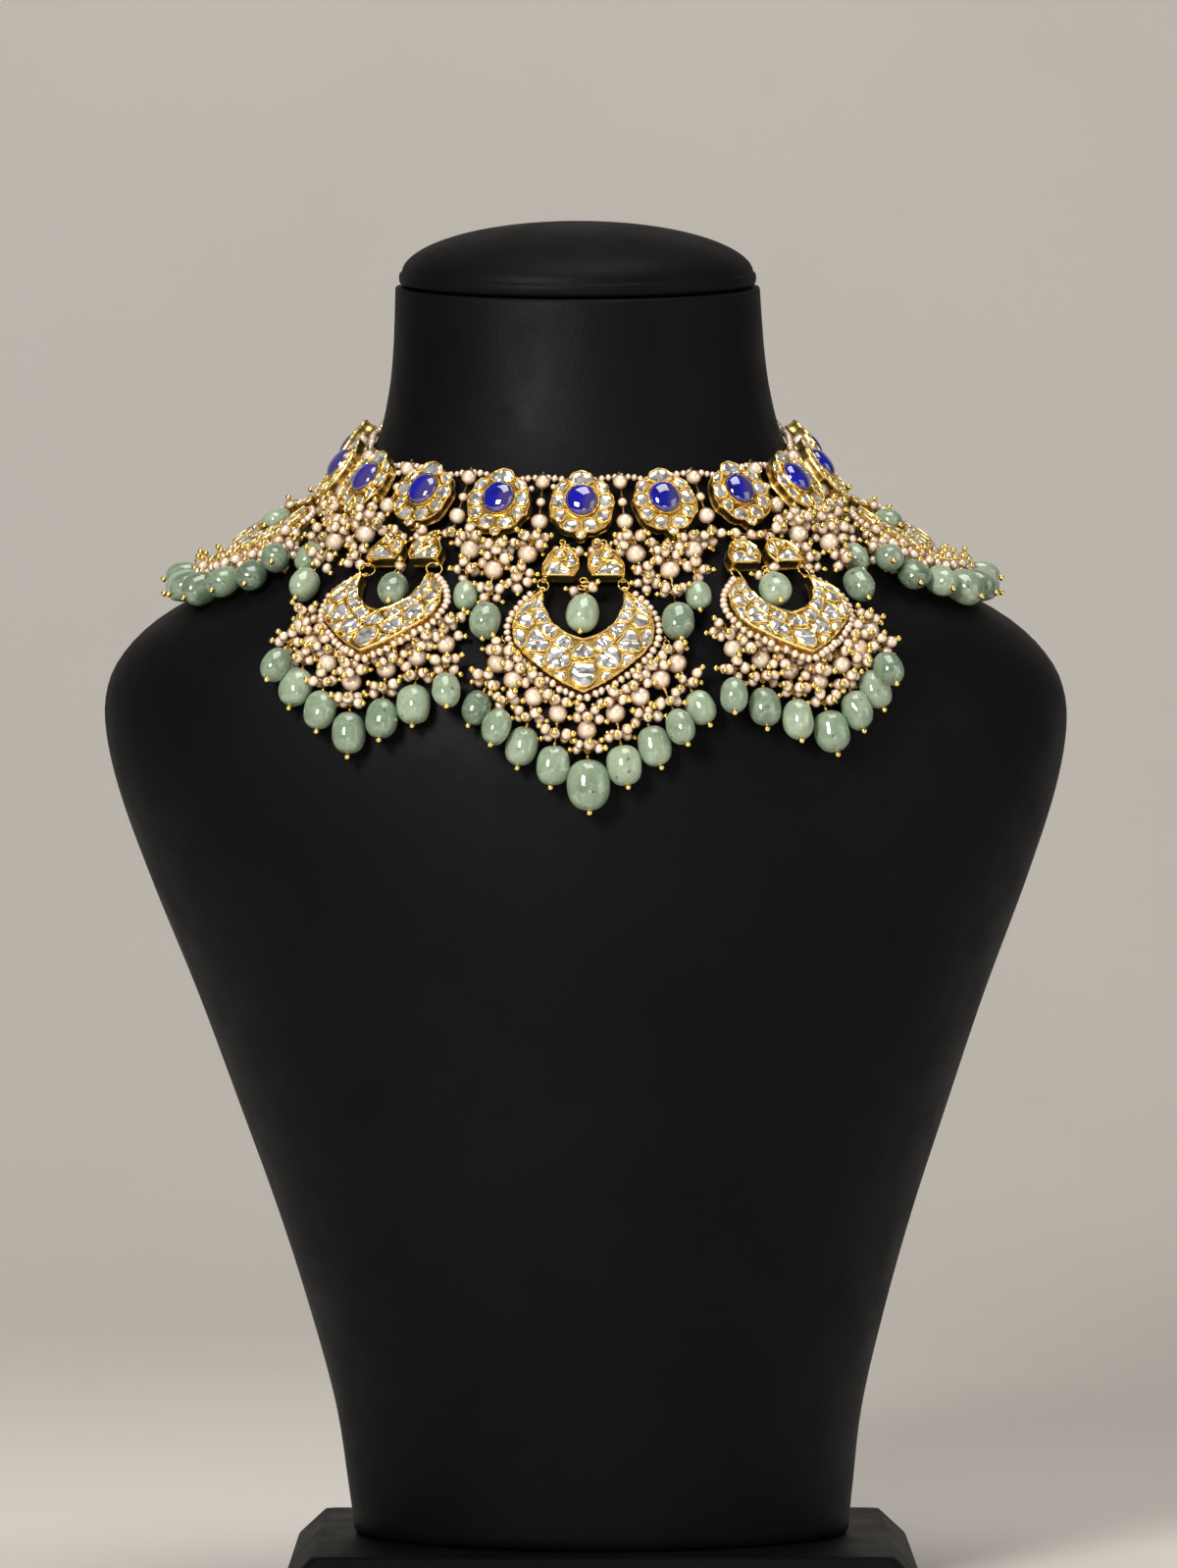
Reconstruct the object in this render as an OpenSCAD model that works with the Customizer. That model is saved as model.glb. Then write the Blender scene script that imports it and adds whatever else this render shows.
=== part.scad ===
// Polki bridal necklace resting on a padded neck bust.
// Millimetres. +Z is up, the necklace faces -Y, and the origin is the centre of the base's underside.

/* [Bust] */
// Sideways lean of the bust, in degrees
bust_lean = 1.1; // [0:0.1:3]
// Height of the top of the neck, where the cap starts
neck_top = 400; // [396:1:404]
// Height of the straight rim of the cap
cap_rim = 4.2; // [3:0.2:6]
// Height of the cap's dome above its rim
cap_dome = 15; // [8:0.5:20]
// Forward tilt of the neck's top and of the cap, in degrees
cap_tilt = 7.3; // [0:0.1:8]
// Height of the base block
base_h = 19; // [14:1:26]
// Width of the base block at its foot
base_w = 192; // [180:1:210]
// Depth of the base block at its foot
base_d = 150; // [136:1:164]
// Width of the bevel round the base's top edge
base_bevel = 9; // [4:0.5:12]

/* [Choker] */
// Height of the medallion ring at the front, on the bust
ring_front_z = 330.5; // [326:0.5:336]
// Rise of the ring from its front to its sides
ring_rise = 13; // [8:0.5:20]
// Spacing of the medallions along the ring
medallion_pitch = 23.3; // [22.5:0.1:25]
// Number of medallions on each side of the middle one
medallions_each_side = 5; // [3:1:5]
// Width of a medallion
medallion_w = 19.4; // [18:0.2:20]
// Height of a medallion
medallion_h = 23; // [22:0.2:23.4]
// Depth of a medallion's gold wall
medallion_wall = 4; // [3:0.25:5]
// Clear space between the bust and the back of a medallion
medallion_lift = 2.9; // [2.5:0.1:4]
// Width of the blue cabochon
sapphire_w = 9.2; // [8:0.2:10]
// Height of the blue cabochon
sapphire_h = 10.2; // [9:0.2:11]
// Diameter of the upper spacer pearls
spacer_top_d = 4.6; // [4:0.1:4.8]
// Diameter of the lower spacer pearls
spacer_low_d = 5.2; // [4.4:0.1:5.4]
// Radius of the seed pearl edging and of the strands at the back
strand_r = 1.1; // [0.9:0.05:1.2]

/* [Pendants] */
// Half width of the middle crescent
crescent_half_w = 21; // [20:0.2:22]
// Height of the middle crescent, from its tips to its point
crescent_h = 34.5; // [33:0.5:35.5]
// Thickness of the crescents and birds
plate_t = 4.6; // [4:0.2:5]
// Width of the ledge that carries the seed pearls round a crescent
ledge_w = 2.2; // [1.6:0.1:2.8]
// Size of the side crescents against the middle one
side_scale = 0.92; // [0.88:0.01:0.94]
// Size of the outer crescents against the middle one
outer_scale = 0.7; // [0.67:0.01:0.72]
// Width of a paisley bird
bird_w = 11.4; // [10:0.2:12.4]
// Height of a paisley bird
bird_h = 9.6; // [9:0.2:10.6]
// Clear space between the bust and the pendants
pendant_lift = 1.9; // [1.8:0.1:2.6]

/* [Drops] */
// Diameter of the large pearls
pearl_d = 6; // [5:0.1:6.4]
// Width of the green beads
green_w = 9.8; // [8:0.1:10.2]
// Length of the green beads
green_l = 11.8; // [10:0.1:12.4]
// Radius of the gold wire
wire_r = 0.28; // [0.2:0.02:0.3]
// Radius of the hole through a bead
bore_r = 0.55; // [0.5:0.05:0.7]
// Radius of the gold end balls
ball_r = 0.9; // [0.7:0.05:1]

/* [Hidden] */
clear = 0.3;

// Bust sections: height, half width, front depth, back depth
SECTION_Z = 0;
SECTION_A = 1;
SECTION_F = 2;
SECTION_B = 3;
bust_rows = [
    [base_h, 75.5, 54, 50],
    [32, 77, 56, 50],
    [58, 80.5, 62, 51],
    [88, 88, 70, 53],
    [118, 97, 78, 56],
    [150, 108, 86.5, 60],
    [184, 120, 94, 64],
    [220, 134, 99, 68],
    [248, 143.5, 100, 70],
    [268, 147, 98, 69],
    [281, 145, 94.5, 67],
    [291, 138.5, 90.5, 65],
    [299, 129.5, 86, 62],
    [305, 119.5, 82, 60],
    [312, 107, 77, 58],
    [320, 93.5, 71.5, 56],
    [330, 80.5, 65.5, 54],
    [341, 69.8, 60.5, 52],
    [353, 62.2, 56.5, 50],
    [367, 58.4, 53.5, 48.5],
    [382, 56.6, 51.5, 47.5],
    [neck_top, 55.7, 50.5, 47]
];

// Sideways place of the bust's axis at a height
function axis_x(z) = -z * tan(bust_lean);

// Smooth curve through the rows' column c, by cubic Hermite pieces
function row_slope(c, i) =
    let (lo = max(i - 1, 0), hi = min(i + 1, len(bust_rows) - 1))
    (bust_rows[hi][c] - bust_rows[lo][c]) / (bust_rows[hi][SECTION_Z] - bust_rows[lo][SECTION_Z]);
function row_at(z, i = 0) =
    i >= len(bust_rows) - 2 || z < bust_rows[i + 1][SECTION_Z] ? i : row_at(z, i + 1);
function section(c, z) =
    let (
        i = row_at(z),
        z0 = bust_rows[i][SECTION_Z],
        h = bust_rows[i + 1][SECTION_Z] - z0,
        t = (z - z0) / h,
        p0 = bust_rows[i][c],
        p1 = bust_rows[i + 1][c]
    )
    (2 * t ^ 3 - 3 * t ^ 2 + 1) * p0 + (t ^ 3 - 2 * t ^ 2 + t) * h * row_slope(c, i)
    + (3 * t ^ 2 - 2 * t ^ 3) * p1 + (t ^ 3 - t ^ 2) * h * row_slope(c, i + 1);

// Point of the bust's skin at an angle round its axis, 0 at the front and 90 at +X
function depth_at(z, c) = c >= 0 ? section(SECTION_F, z) : section(SECTION_B, z);
function skin(angle, z) =
    let (r = 1 / sqrt((sin(angle) / section(SECTION_A, z)) ^ 2 + (cos(angle) / depth_at(z, cos(angle))) ^ 2))
    [axis_x(z) + r * sin(angle), -r * cos(angle), z];
function unit(v) = v / norm(v);
// How far the middle line of a piece that is laid across the flare reaches above and below its centre
SEAT = 7;
function skin_normal(angle, z) =
    unit(cross(skin(angle + 1, z) - skin(angle - 1, z), skin(angle, z + 0.5) - skin(angle, z - 0.5)));

// Point over the front of the bust, where it is seen at x from the necklace's middle, held off by lift
function front_skin(x, z) =
    let (a = section(SECTION_A, z), u = x + neck_x - axis_x(z))
    [x + neck_x, -section(SECTION_F, z) * sqrt(max(0.02, 1 - (u / a) ^ 2)), z];
function front_normal(x, z) =
    unit(cross(
        front_skin(x + 0.5, z) - front_skin(x - 0.5, z),
        front_skin(x, z + 0.5) - front_skin(x, z - 0.5)
    ));
function front(x, z, lift) = front_skin(x, z) - [0, lift / max(0.3, -front_normal(x, z).y), 0];

// Where a ray from p along d meets the bust, by halving
function is_inside(p) =
    let (f = depth_at(p.z, -p.y))
    ((p.x - axis_x(p.z)) / section(SECTION_A, p.z)) ^ 2 + (p.y / f) ^ 2 < 1;
function settle(p, d, near = 0, far = 60, n = 14) =
    let (mid = (near + far) / 2)
    n == 0 ? p + d * mid
    : is_inside(p + d * mid) ? settle(p, d, near, mid, n - 1) : settle(p, d, mid, far, n - 1);

// The ring of medallions: heights rise from the front to the sides, and arc length sets the spacing
neck_x = axis_x(ring_front_z);
function ring_z(angle) = ring_front_z + ring_rise * (1 - cos(angle)) * (1 + 0.15 * (1 - cos(angle)) ^ 2);
ring_top_z = 362;
function ring_point(angle) = skin(angle, min(ring_z(angle), ring_top_z));
ARC_STEP = 3;
arc_steps = [for (a = [0:ARC_STEP:180 - ARC_STEP]) norm(ring_point(a + ARC_STEP) - ring_point(a))];
function arc_sum(n) = n == 0 ? 0 : arc_sum(n - 1) + arc_steps[n - 1];
arc_table = [for (n = [0:len(arc_steps)]) [arc_sum(n), n * ARC_STEP]];
function ring_angle(s) = sign(s) * lookup(abs(s), arc_table);

// Frames are [point, right, up, outward]
function frame(p, n, up_hint) =
    let (right = unit(cross(up_hint, n)))
    [p, right, cross(n, right), n];
function ring_frame(s, lift) =
    let (
        a = ring_angle(s),
        z = ring_z(a),
        high = skin(a, z + SEAT),
        low = skin(a, z - SEAT),
        n = unit(cross(skin(a + 4, z) - skin(a - 4, z), high - low))
    )
    frame((high + low) / 2 + n * lift, n, high - low);
function on_frame(f, x, y, z) = f[0] + f[1] * x + f[2] * y + f[3] * z;
module place(f) {
    multmatrix([
        [f[1].x, f[2].x, f[3].x, f[0].x],
        [f[1].y, f[2].y, f[3].y, f[0].y],
        [f[1].z, f[2].z, f[3].z, f[0].z]
    ]) children();
}
module aim(p, q) {
    d = unit(q - p);
    place(frame(p, d, abs(d.z) > 0.9 ? [0, 1, 0] : [0, 0, 1])) children();
}
// Rod between two dots, which cover its ends, and a dot whose poles and seam lie off the wire's line d
ROD_TRIM = 0.15;
module rod(p, q, r) {
    d = unit(q - p) * ROD_TRIM;
    aim(p + d, q - d) cylinder(h = norm(q - p) - 2 * ROD_TRIM, r = r, $fn = 24);
}
module dot(p, d, r) { place(frame(p, unit(cross(d, [d.z, 1, -d.x])), d)) sphere(r, $fn = 24); }

// Pendants: x and height of the middle of the tips as seen from the front, slope of the line of the tips,
// turn of the face away from the middle, and how far below its tips a pendant takes the slope of the bust
PENDANT_X = 0;
PENDANT_Z = 1;
PENDANT_SLOPE = 2;
PENDANT_TURN = 3;
PENDANT_DROP = 4;
pendant_centre = [0.5, 305, 0, 0, 12];
pendant_left = [-53.8, 309.2, 0.2, -4.4, 0.8];
pendant_right = [55.9, 308.3, 2.4, -0.3, -2];
// Angle and height on the shoulder of the outer pendants' tips, and their swing towards the front
outer_angle = 82;
outer_tip_z = 324.5;
outer_swing = 20;
outer_lift = 1.8;
outer_bird_scale = 0.6;

function turned(n, angle) = [n.x * cos(angle) - n.y * sin(angle), n.x * sin(angle) + n.y * cos(angle), n.z];
function front_frame(row) =
    let (
        skin_n = front_normal(row[PENDANT_X] * 1.1, row[PENDANT_Z] - row[PENDANT_DROP]),
        n = turned(skin_n, row[PENDANT_TURN]),
        dx = cos(row[PENDANT_SLOPE]),
        dz = sin(row[PENDANT_SLOPE]),
        right = unit([dx, -(dx * n.x + dz * n.z) / n.y, dz])
    )
    [front(row[PENDANT_X], row[PENDANT_Z], pendant_lift), right, cross(n, right), n];
function outer_frame(side) =
    let (
        p = skin(side * outer_angle, outer_tip_z),
        n = skin_normal(side * (outer_angle - 6), outer_tip_z - 10),
        level = frame(p + n * (pendant_lift + outer_lift), n, [0, 0, 1]),
        c = cos(outer_swing),
        s = side * sin(outer_swing)
    )
    [level[0], level[1] * c - level[2] * s, level[2] * c + level[1] * s, n];
centre_frame = front_frame(pendant_centre);
left_frame = front_frame(pendant_left);
right_frame = front_frame(pendant_right);
outer_left_frame = outer_frame(-1);
outer_right_frame = outer_frame(1);

// Bead rows of a front fan: name, then for pearls and for green beads: x and height of the middle one,
// then the step, pinch and rise of each next one towards the middle and away from it
FAN_PEARL = [1, 2, 3, 4, 5, 6, 7, 8];
FAN_GREEN = [9, 10, 11, 12, 13, 14, 15, 16];
front_fans = [
    ["centre", 1.5, 265.5, 9, 0.6, 4.85, 9, 0.6, 4.85, 2, 249.7, 11.2, 0.75, 5.6, 11.2, 0.75, 5.6],
    ["left", -67.6, 279.6, 10.7, 0.5, 3.6, 8.4, 1.1, 5.5, -68.4, 264.5, 9.6, 0, 4.3, 9.3, 0.7, 6.7],
    ["right", 69.6, 279.6, 8.7, 0.1, 3.2, 7.6, 0.8, 4.9, 73.4, 265.1, 10.2, 0.2, 3.5, 8.4, 0.9, 6.1]
];
// Place of bead i in a fan row: i counts outwards from the middle of the pendant, inner steps are negative
function fan_place(row, cols, side, i) =
    let (
        k = abs(i),
        inner = i < 0,
        step = row[cols[inner ? 2 : 5]],
        pinch = row[cols[inner ? 3 : 6]],
        rise = row[cols[inner ? 4 : 7]]
    )
    [row[cols[0]] + side * sign(i) * (step * k - pinch * k * k), row[cols[1]] + rise * k];

// Drops between the pendants, mirrored: pearl x and height, end x and height, bead width and length or 0
// for none, and how far the start lies towards the middle and above the pearl
gap_drops = [
    [33, 318.5, 34.4, 305, 7.4, 9.6, 2.7, 4.8],
    [26, 312.4, 28.4, 297.5, 9.6, 11.6, 1.4, 8.8],
    [16, 317.2, 19, 308.5, 0, 0, 1.6, 5.9],
    [74.4, 327.2, 81.5, 316.5, 7.8, 10.4, 2.9, 5.9],
    [74, 321, 82.4, 308.5, 8.6, 11.4, 4, 7.3],
    [64.6, 323.4, 66.4, 315, 0, 0, 0.4, 6.1]
];
gap_lift = 3.4;
// Share of a crescent's outer edge that carries drops, from its point up
rim_share = 0.56;
// Extra height of a green bead that rides on its neighbours, by its place in the fan
stack = [0, 1.2, 0, 4.6, 0.6];

// Crescent outline in its own size, x and y of the outer edge from tip to point, then of the inner edge
OUTLINE_W = 21;
OUTLINE_H = 34.5;
crescent_outer = [
    [12.4, 0], [16.8, 4.2], [20, 8.5], [OUTLINE_W, 12.3], [20.6, 16.4], [18, 21.2], [11.1, 27.6], [6.4, 31],
    [0, OUTLINE_H]
];
crescent_inner = [[0, 16.6], [4.2, 15], [8.4, 12], [10.9, 7.8], [11.9, 3.6], [11.8, 0.4]];
function sized(points, s) =
    [for (p = points) [p.x * s * crescent_half_w / OUTLINE_W, -p.y * s * crescent_h / OUTLINE_H]];
function mirrored(points) = [for (i = [len(points) - 1:-1:0]) [-points[i].x, points[i].y]];
function without_first(points) = [for (i = [1:len(points) - 1]) points[i]];
function crescent_points(s) =
    let (outer = sized(crescent_outer, s), inner = sized(crescent_inner, s))
    concat(outer, without_first(mirrored(outer)), mirrored(inner), without_first(inner));
// Point at a share t of the way up the outer edge, 0 at the point and 1 near the tip, moved out by gap
function rim_point(s, t, gap) =
    let (
        outer = sized(crescent_outer, s),
        last = len(outer) - 1,
        f = last * (1 - abs(t)),
        i = min(floor(f), last - 1),
        p = outer[i] + (outer[i + 1] - outer[i]) * (f - i),
        along = unit(outer[i + 1] - outer[i]),
        q = abs(t) < 0.01 ? p + [0, -gap] : p + gap * [-along.y, along.x]
    )
    [(t < 0 ? -1 : 1) * q.x, q.y];

names_medallion = [for (i = [1:2 * medallions_each_side + 1]) str("medallion_", i)];
names_sapphire = [for (i = [1:2 * medallions_each_side + 1]) str("sapphire_", i)];
pendant_names = ["centre", "left", "right", "outer_left", "outer_right"];
bird_sides = ["a", "b"];

// Closed skin through rings of points that all have the same count, with flat ends
module loft(rings) {
    n = len(rings[0]);
    last = len(rings) - 1;
    points = [for (r = rings) for (p = r) p];
    sides = [for (k = [0:last - 1]) for (i = [0:n - 1])
        let (a = k * n + i, b = k * n + (i + 1) % n)
        each [[a, b, b + n], [a, b + n, a + n]]];
    bottom = [for (i = [n - 1:-1:0]) i];
    top = [for (i = [0:n - 1]) last * n + i];
    faces = concat(sides, [bottom], [top]);
    polyhedron(points = points, faces = [for (f = faces) [for (i = [len(f) - 1:-1:0]) f[i]]]);
}

BUST_SIDES = 64;
bust_levels = [for (i = [0:len(bust_rows) - 2]) for (t = [0, 0.5])
    bust_rows[i][SECTION_Z] * (1 - t) + bust_rows[i + 1][SECTION_Z] * t];
// Oval on the tilted top of the neck, scaled by grow and raised square to that top by h
function neck_ring(grow, h) = [for (i = [0:BUST_SIDES - 1])
    let (p = skin(i * 360 / BUST_SIDES, neck_top), x = axis_x(neck_top), y = p.y * grow)
    [x + (p.x - x) * grow, y - h * sin(cap_tilt), neck_top + y * tan(cap_tilt) + h * cos(cap_tilt)]];
module bust() {
    color("#161618")
        loft(concat(
            [for (z = bust_levels) [for (i = [0:BUST_SIDES - 1]) skin(i * 360 / BUST_SIDES, z)]],
            [neck_ring(1, 0)]
        ));
}

DOME_STEPS = 7;
function dome_height(t) = cap_dome * sin(t) ^ 1.15;
module cap() {
    rim_grow = 0.975;
    color("#161618")
        loft(concat(
            [neck_ring(0.94, 0.05), neck_ring(0.945, 0.7)],
            [neck_ring(rim_grow, 1.1), neck_ring(rim_grow + 0.005, cap_rim)],
            [for (k = [0:DOME_STEPS]) let (t = k * 86 / DOME_STEPS)
                neck_ring(rim_grow * cos(t), cap_rim + 0.5 + dome_height(t))]
        ));
}

module base() {
    top_w = base_w - 2 * base_bevel;
    top_d = base_d - 2 * base_bevel;
    corners = [[-1, -1], [1, -1], [1, 1], [-1, 1]];
    color("#161618")
        polyhedron(
            points = concat(
                [for (c = corners) [c.x * base_w / 2, c.y * base_d / 2, 0]],
                [for (c = corners) [c.x * base_w / 2, c.y * base_d / 2, base_h - base_bevel]],
                [for (c = corners) [c.x * top_w / 2, c.y * top_d / 2, base_h]]
            ),
            faces = concat(
                [[0, 1, 2, 3]],
                [for (k = [0, 4]) for (i = [0:3]) [k + i, k + 4 + i, k + 4 + (i + 1) % 4, k + (i + 1) % 4]],
                [[11, 10, 9, 8]]
            ));
}

// Scalloped flower outline: ten petals, those at the top and bottom drawn to points
PETALS = 10;
OUTLINE_STEP = 6;
OVAL_STEP = 15;
bezel_depth = 0.6;
// How far the flower hangs below the middle of its frame, and the cabochon with its bezel
flower_drop = 1.5;
sapphire_drop = 0.4;
function petal_reach(a) =
    let (
        wave = abs(cos(a * PETALS / 2)),
        tip = max(0, cos(a)) ^ 24 + max(0, -cos(a)) ^ 24
    )
    0.86 + 0.09 * wave + 0.1 * tip;
function oval(w, h, step) = [for (a = [0:step:359]) [w / 2 * sin(a), h / 2 * cos(a)]];
module medallion(index) {
    half_w = medallion_w / 2 / 0.95;
    half_h = medallion_h / 2 / 1.05;
    outline = [for (a = [0:OUTLINE_STEP:359])
        petal_reach(a) * [half_w * sin(a), half_h * cos(a)] - [0, flower_drop]];
    color("#c9962e")
        place(ring_frame(index * medallion_pitch, medallion_lift))
            difference() {
                union() {
                    linear_extrude(medallion_wall) polygon(outline);
                    translate([0, -sapphire_drop, medallion_wall - 0.2])
                        linear_extrude(1) polygon(oval(sapphire_w + 1.8, sapphire_h + 1.8, OVAL_STEP));
                }
                translate([0, -sapphire_drop, medallion_wall - bezel_depth])
                    linear_extrude(2) polygon(oval(sapphire_w + 0.4, sapphire_h + 0.4, OVAL_STEP));
            }
}

// Oval cabochon with a low dome, seated in the medallion's bezel with a small clearance
module sapphire(index) {
    seat = medallion_wall - bezel_depth + clear / 2;
    rings = [
        for (k = [0:5])
            let (g = cos(k * 16), h = k == 0 ? 0 : 1 + 2.2 * sin(k * 16))
            [for (p = oval(sapphire_w * g, sapphire_h * g, OVAL_STEP)) [-p.x, p.y, h]]
    ];
    color("#2430c8")
        place(ring_frame(index * medallion_pitch, medallion_lift))
            translate([0, -sapphire_drop, seat]) loft(rings);
}

// Paisley bird: flat foot, swelling breast towards the middle, raised head, and a small lug at top and foot
bird_shape = [
    [-0.5, 0.02], [0.34, 0], [0.48, 0.3], [0.46, 0.66], [0.28, 0.94], [0, 1], [-0.2, 0.84], [-0.3, 0.62],
    [-0.47, 0.4]
];
bird_shift = 6.5;
lug = 1.2;
lug_seat = 0.5;
lug_z = ledge_w + clear;
// Middle of the foot's lug, outwards from the bird's middle
lug_shift = 5.1;
module bird(k, side) {
    size = bird_size_of(k);
    rise = bird_rise_of(k);
    color("#c9962e")
        place(frame_of(k))
            translate([side * bird_shift * size, rise, 0]) scale([side * size, size, 1]) {
                linear_extrude(plate_t) polygon([for (p = bird_shape) [-p.x * bird_w, p.y * bird_h]]);
                translate([0, bird_h - lug_seat, lug_z])
                    linear_extrude(lug) square([lug, 2 * lug]);
                translate([lug_shift - lug / 2, (clear - rise) / size, lug_z])
                    linear_extrude(lug) square([lug, (rise - clear) / size + lug_seat]);
            }
}

// Crescent with a pointed foot, a rounded opening above, and a ledge for its seed pearls
module crescent(f, size) {
    points = crescent_points(size);
    ledge = concat(
        [for (i = [-8:8]) rim_point(size, i / 8, ledge_w)],
        [for (i = [8:-1:-8]) rim_point(size, i / 8, -1)]
    );
    color("#c9962e")
        place(f) union() {
            linear_extrude(plate_t) polygon(points);
            linear_extrude(ledge_w) polygon(ledge);
        }
}

// Round pearl drilled along the line from p to q
module drilled_pearl(p, q, d) {
    centre = (p + q) / 2;
    aim(centre, q) difference() {
        sphere(d = d, $fn = 32);
        translate([0, 0, -d]) cylinder(h = 2 * d, r = bore_r, $fn = 24);
    }
}
// Oval bead of width w and length l, drilled along its length, centred between p and q
module drilled_oval(p, q, w, l) {
    start = asin(bore_r / (w / 2));
    profile = [for (k = [0:9]) let (a = start + k * (180 - 2 * start) / 9) [w / 2 * sin(a), l / 2 * cos(a)]];
    bore_end = l / 2 * cos(start) * 0.999;
    centre = (p + q) / 2;
    aim(centre, q) rotate_extrude($fn = 32)
        polygon(concat(profile, [[bore_r, -bore_end], [bore_r, bore_end]]));
}

// A drop is [start, knot above the pearl, pearl, knot above the end, green bead, end ball, width, length]
function drop(start, pearl, end, w, l) =
    let (
        down = unit(end - pearl),
        span = norm(end - pearl),
        half = w > 0 ? l / 2 : 0.8,
        gap = (span - pearl_d / 2 - half) / 2,
        knot = pearl + down * (pearl_d / 2 + gap),
        upper = pearl - down * (pearl_d / 2 + 1.3)
    )
    [start, upper, pearl, knot, end, end + down * (half + 0.5 * ball_r + 0.4), w, l];
module drop_pearl(d) { drilled_pearl(d[1], 2 * d[2] - d[1], pearl_d); }
module drop_green(d) { if (d[6] > 0) drilled_oval(2 * d[4] - d[5], d[5], d[6], d[7]); }
module drop_wire(d) {
    union() {
        rod(d[0], d[1], wire_r);
        rod(d[1], d[3], wire_r);
        rod(d[3], d[5], wire_r);
        dot(d[0], unit(d[1] - d[0]), 0.55);
        dot(d[1], unit(d[3] - d[0]), 0.6);
        dot(d[3], unit(d[5] - d[1]), 0.75);
        dot(d[5], unit(d[5] - d[3]), ball_r);
    }
}

// Where a drop starts: just outside the ledge of its crescent, at height h from the crescent's back
function rim_start(f, size, t, h) =
    let (p = rim_point(size, t, ledge_w + clear + 0.6))
    on_frame(f, p.x, p.y, h);
// Start of a drop whose pearl lies under the plate
under_start = -0.7;
function green_size(i) = abs(i) == 0 ? 1.08 : abs(i) == 3 ? 0.92 : abs(i) == 4 ? 0.88 : 1;

// Front fans: count on each side, size of the middle green bead, and the last drop, counted outwards, that
// starts under the plate
function front_drops(fan, f, size, side, count, big, under) =
    [for (i = [-count:count])
        let (
            p = fan_place(fan, FAN_PEARL, side, i),
            g = fan_place(fan, FAN_GREEN, side, i),
            s = i == 0 ? big : green_size(i),
            r = green_w * s / 2
        )
        drop(
            rim_start(f, size, side * i / count * rim_share, i > under ? ledge_w / 2 : under_start),
            front(p.x, p.y, pearl_d / 2 + clear + 0.4),
            front(g.x, g.y, r + clear + stack[abs(i)]),
            green_w * s, green_l * s)];
// Fans on the shoulders, laid out round the middle of the tips and settled on the bust
outer_fan_step = 13.5;
outer_fan_turn = 6;
outer_pearl_r = 31.2;
outer_green_r = 41.4;
outer_rim_share = 0.46;
function outer_point(f, x, y, lift) =
    let (p = on_frame(f, x, y, 20), hit = settle(p, -f[3]))
    hit + f[3] * lift;
function outer_drops(f, side, count) =
    [for (i = [-count:count])
        let (
            k = abs(i),
            s = green_size(i) * 0.95,
            a = i * outer_fan_step + side * outer_fan_turn,
            pearl_r = outer_pearl_r - 1.1 * k,
            green_r = outer_green_r - 1.3 * k
        )
        drop(
            rim_start(f, outer_scale, i / count * outer_rim_share, ledge_w / 2),
            outer_point(f, pearl_r * sin(a), -pearl_r * cos(a), pearl_d / 2 + clear + 1),
            outer_point(f, green_r * sin(a), -green_r * cos(a), green_w * s / 2 + clear + 0.6 + stack[k] / 2),
            green_w * s, green_l * s)];
// Green beads that hang in the openings of the crescents: the top of the wire and the middle of the bead in
// the pendant's own frame, and the bead's size. The foot is tipped forwards over the plate
heart_w = 10;
heart_l = 12.2;
HEART_TOP = 0;
HEART_MIDDLE = 1;
HEART_SIZE = 2;
hearts = [
    [[1.2, 3.6, 1.4], [-0.2, -8.6, 4.6], 1],
    [[0.2, 5, 1.4], [2.4, -7.2, 4.6], 0.92],
    [[-0.2, 5, 1.4], [-2.6, -6.4, 4.6], 0.92],
    [[0, 3.4, 1.4], [0, -5.4, 3.8], 0.76],
    [[0, 3.4, 1.4], [0, -5.4, 3.8], 0.76]
];
function heart_drop(k) =
    let (
        row = hearts[k],
        f = frame_of(k),
        top = on_frame(f, row[HEART_TOP].x, row[HEART_TOP].y, row[HEART_TOP].z),
        mid = on_frame(f, row[HEART_MIDDLE].x, row[HEART_MIDDLE].y, row[HEART_MIDDLE].z)
    )
    [top, mid, unit(mid - top), heart_w * row[HEART_SIZE], heart_l * row[HEART_SIZE]];
module heart_bead(h) { drilled_oval(h[1] - h[2], h[1] + h[2], h[3], h[4]); }
module heart_wire(h) {
    union() {
        rod(h[0], h[1] + h[2] * (h[4] / 2 + 0.8), wire_r);
        dot(h[0], h[2], 0.5);
        dot(h[1] + h[2] * (h[4] / 2 + 0.5 * ball_r + 0.4), h[2], ball_r);
    }
}

function gap_list(side) =
    [for (g = gap_drops)
        drop(
            front(side * (g[0] - g[6]), g[1] + g[7], gap_lift),
            front(side * g[0], g[1], pearl_d / 2 + clear + 0.5),
            front(side * g[2], g[3], max(g[4] / 2, 1.5) + clear + 0.2),
            g[4], g[5])];

centre_drops = front_drops(front_fans[0], centre_frame, 1, 1, 4, 1.3, -5);
left_drops = concat(front_drops(front_fans[1], left_frame, side_scale, -1, 3, 1.08, 0), gap_list(-1));
right_drops = concat(front_drops(front_fans[2], right_frame, side_scale, 1, 3, 1.08, 1), gap_list(1));
outer_left_drops = outer_drops(outer_left_frame, -1, 3);
outer_right_drops = outer_drops(outer_right_frame, 1, 3);
function drops_of(k) = [centre_drops, left_drops, right_drops, outer_left_drops, outer_right_drops][k];
function frame_of(k) = [centre_frame, left_frame, right_frame, outer_left_frame, outer_right_frame][k];
function size_of(k) = k == 0 ? 1 : k < 3 ? side_scale : outer_scale;
function bird_size_of(k) = k < 3 ? 1 : outer_bird_scale;
function bird_rise_of(k) = [4.2, 5.4, 5.4, 2.4, 2.4][k];

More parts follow.
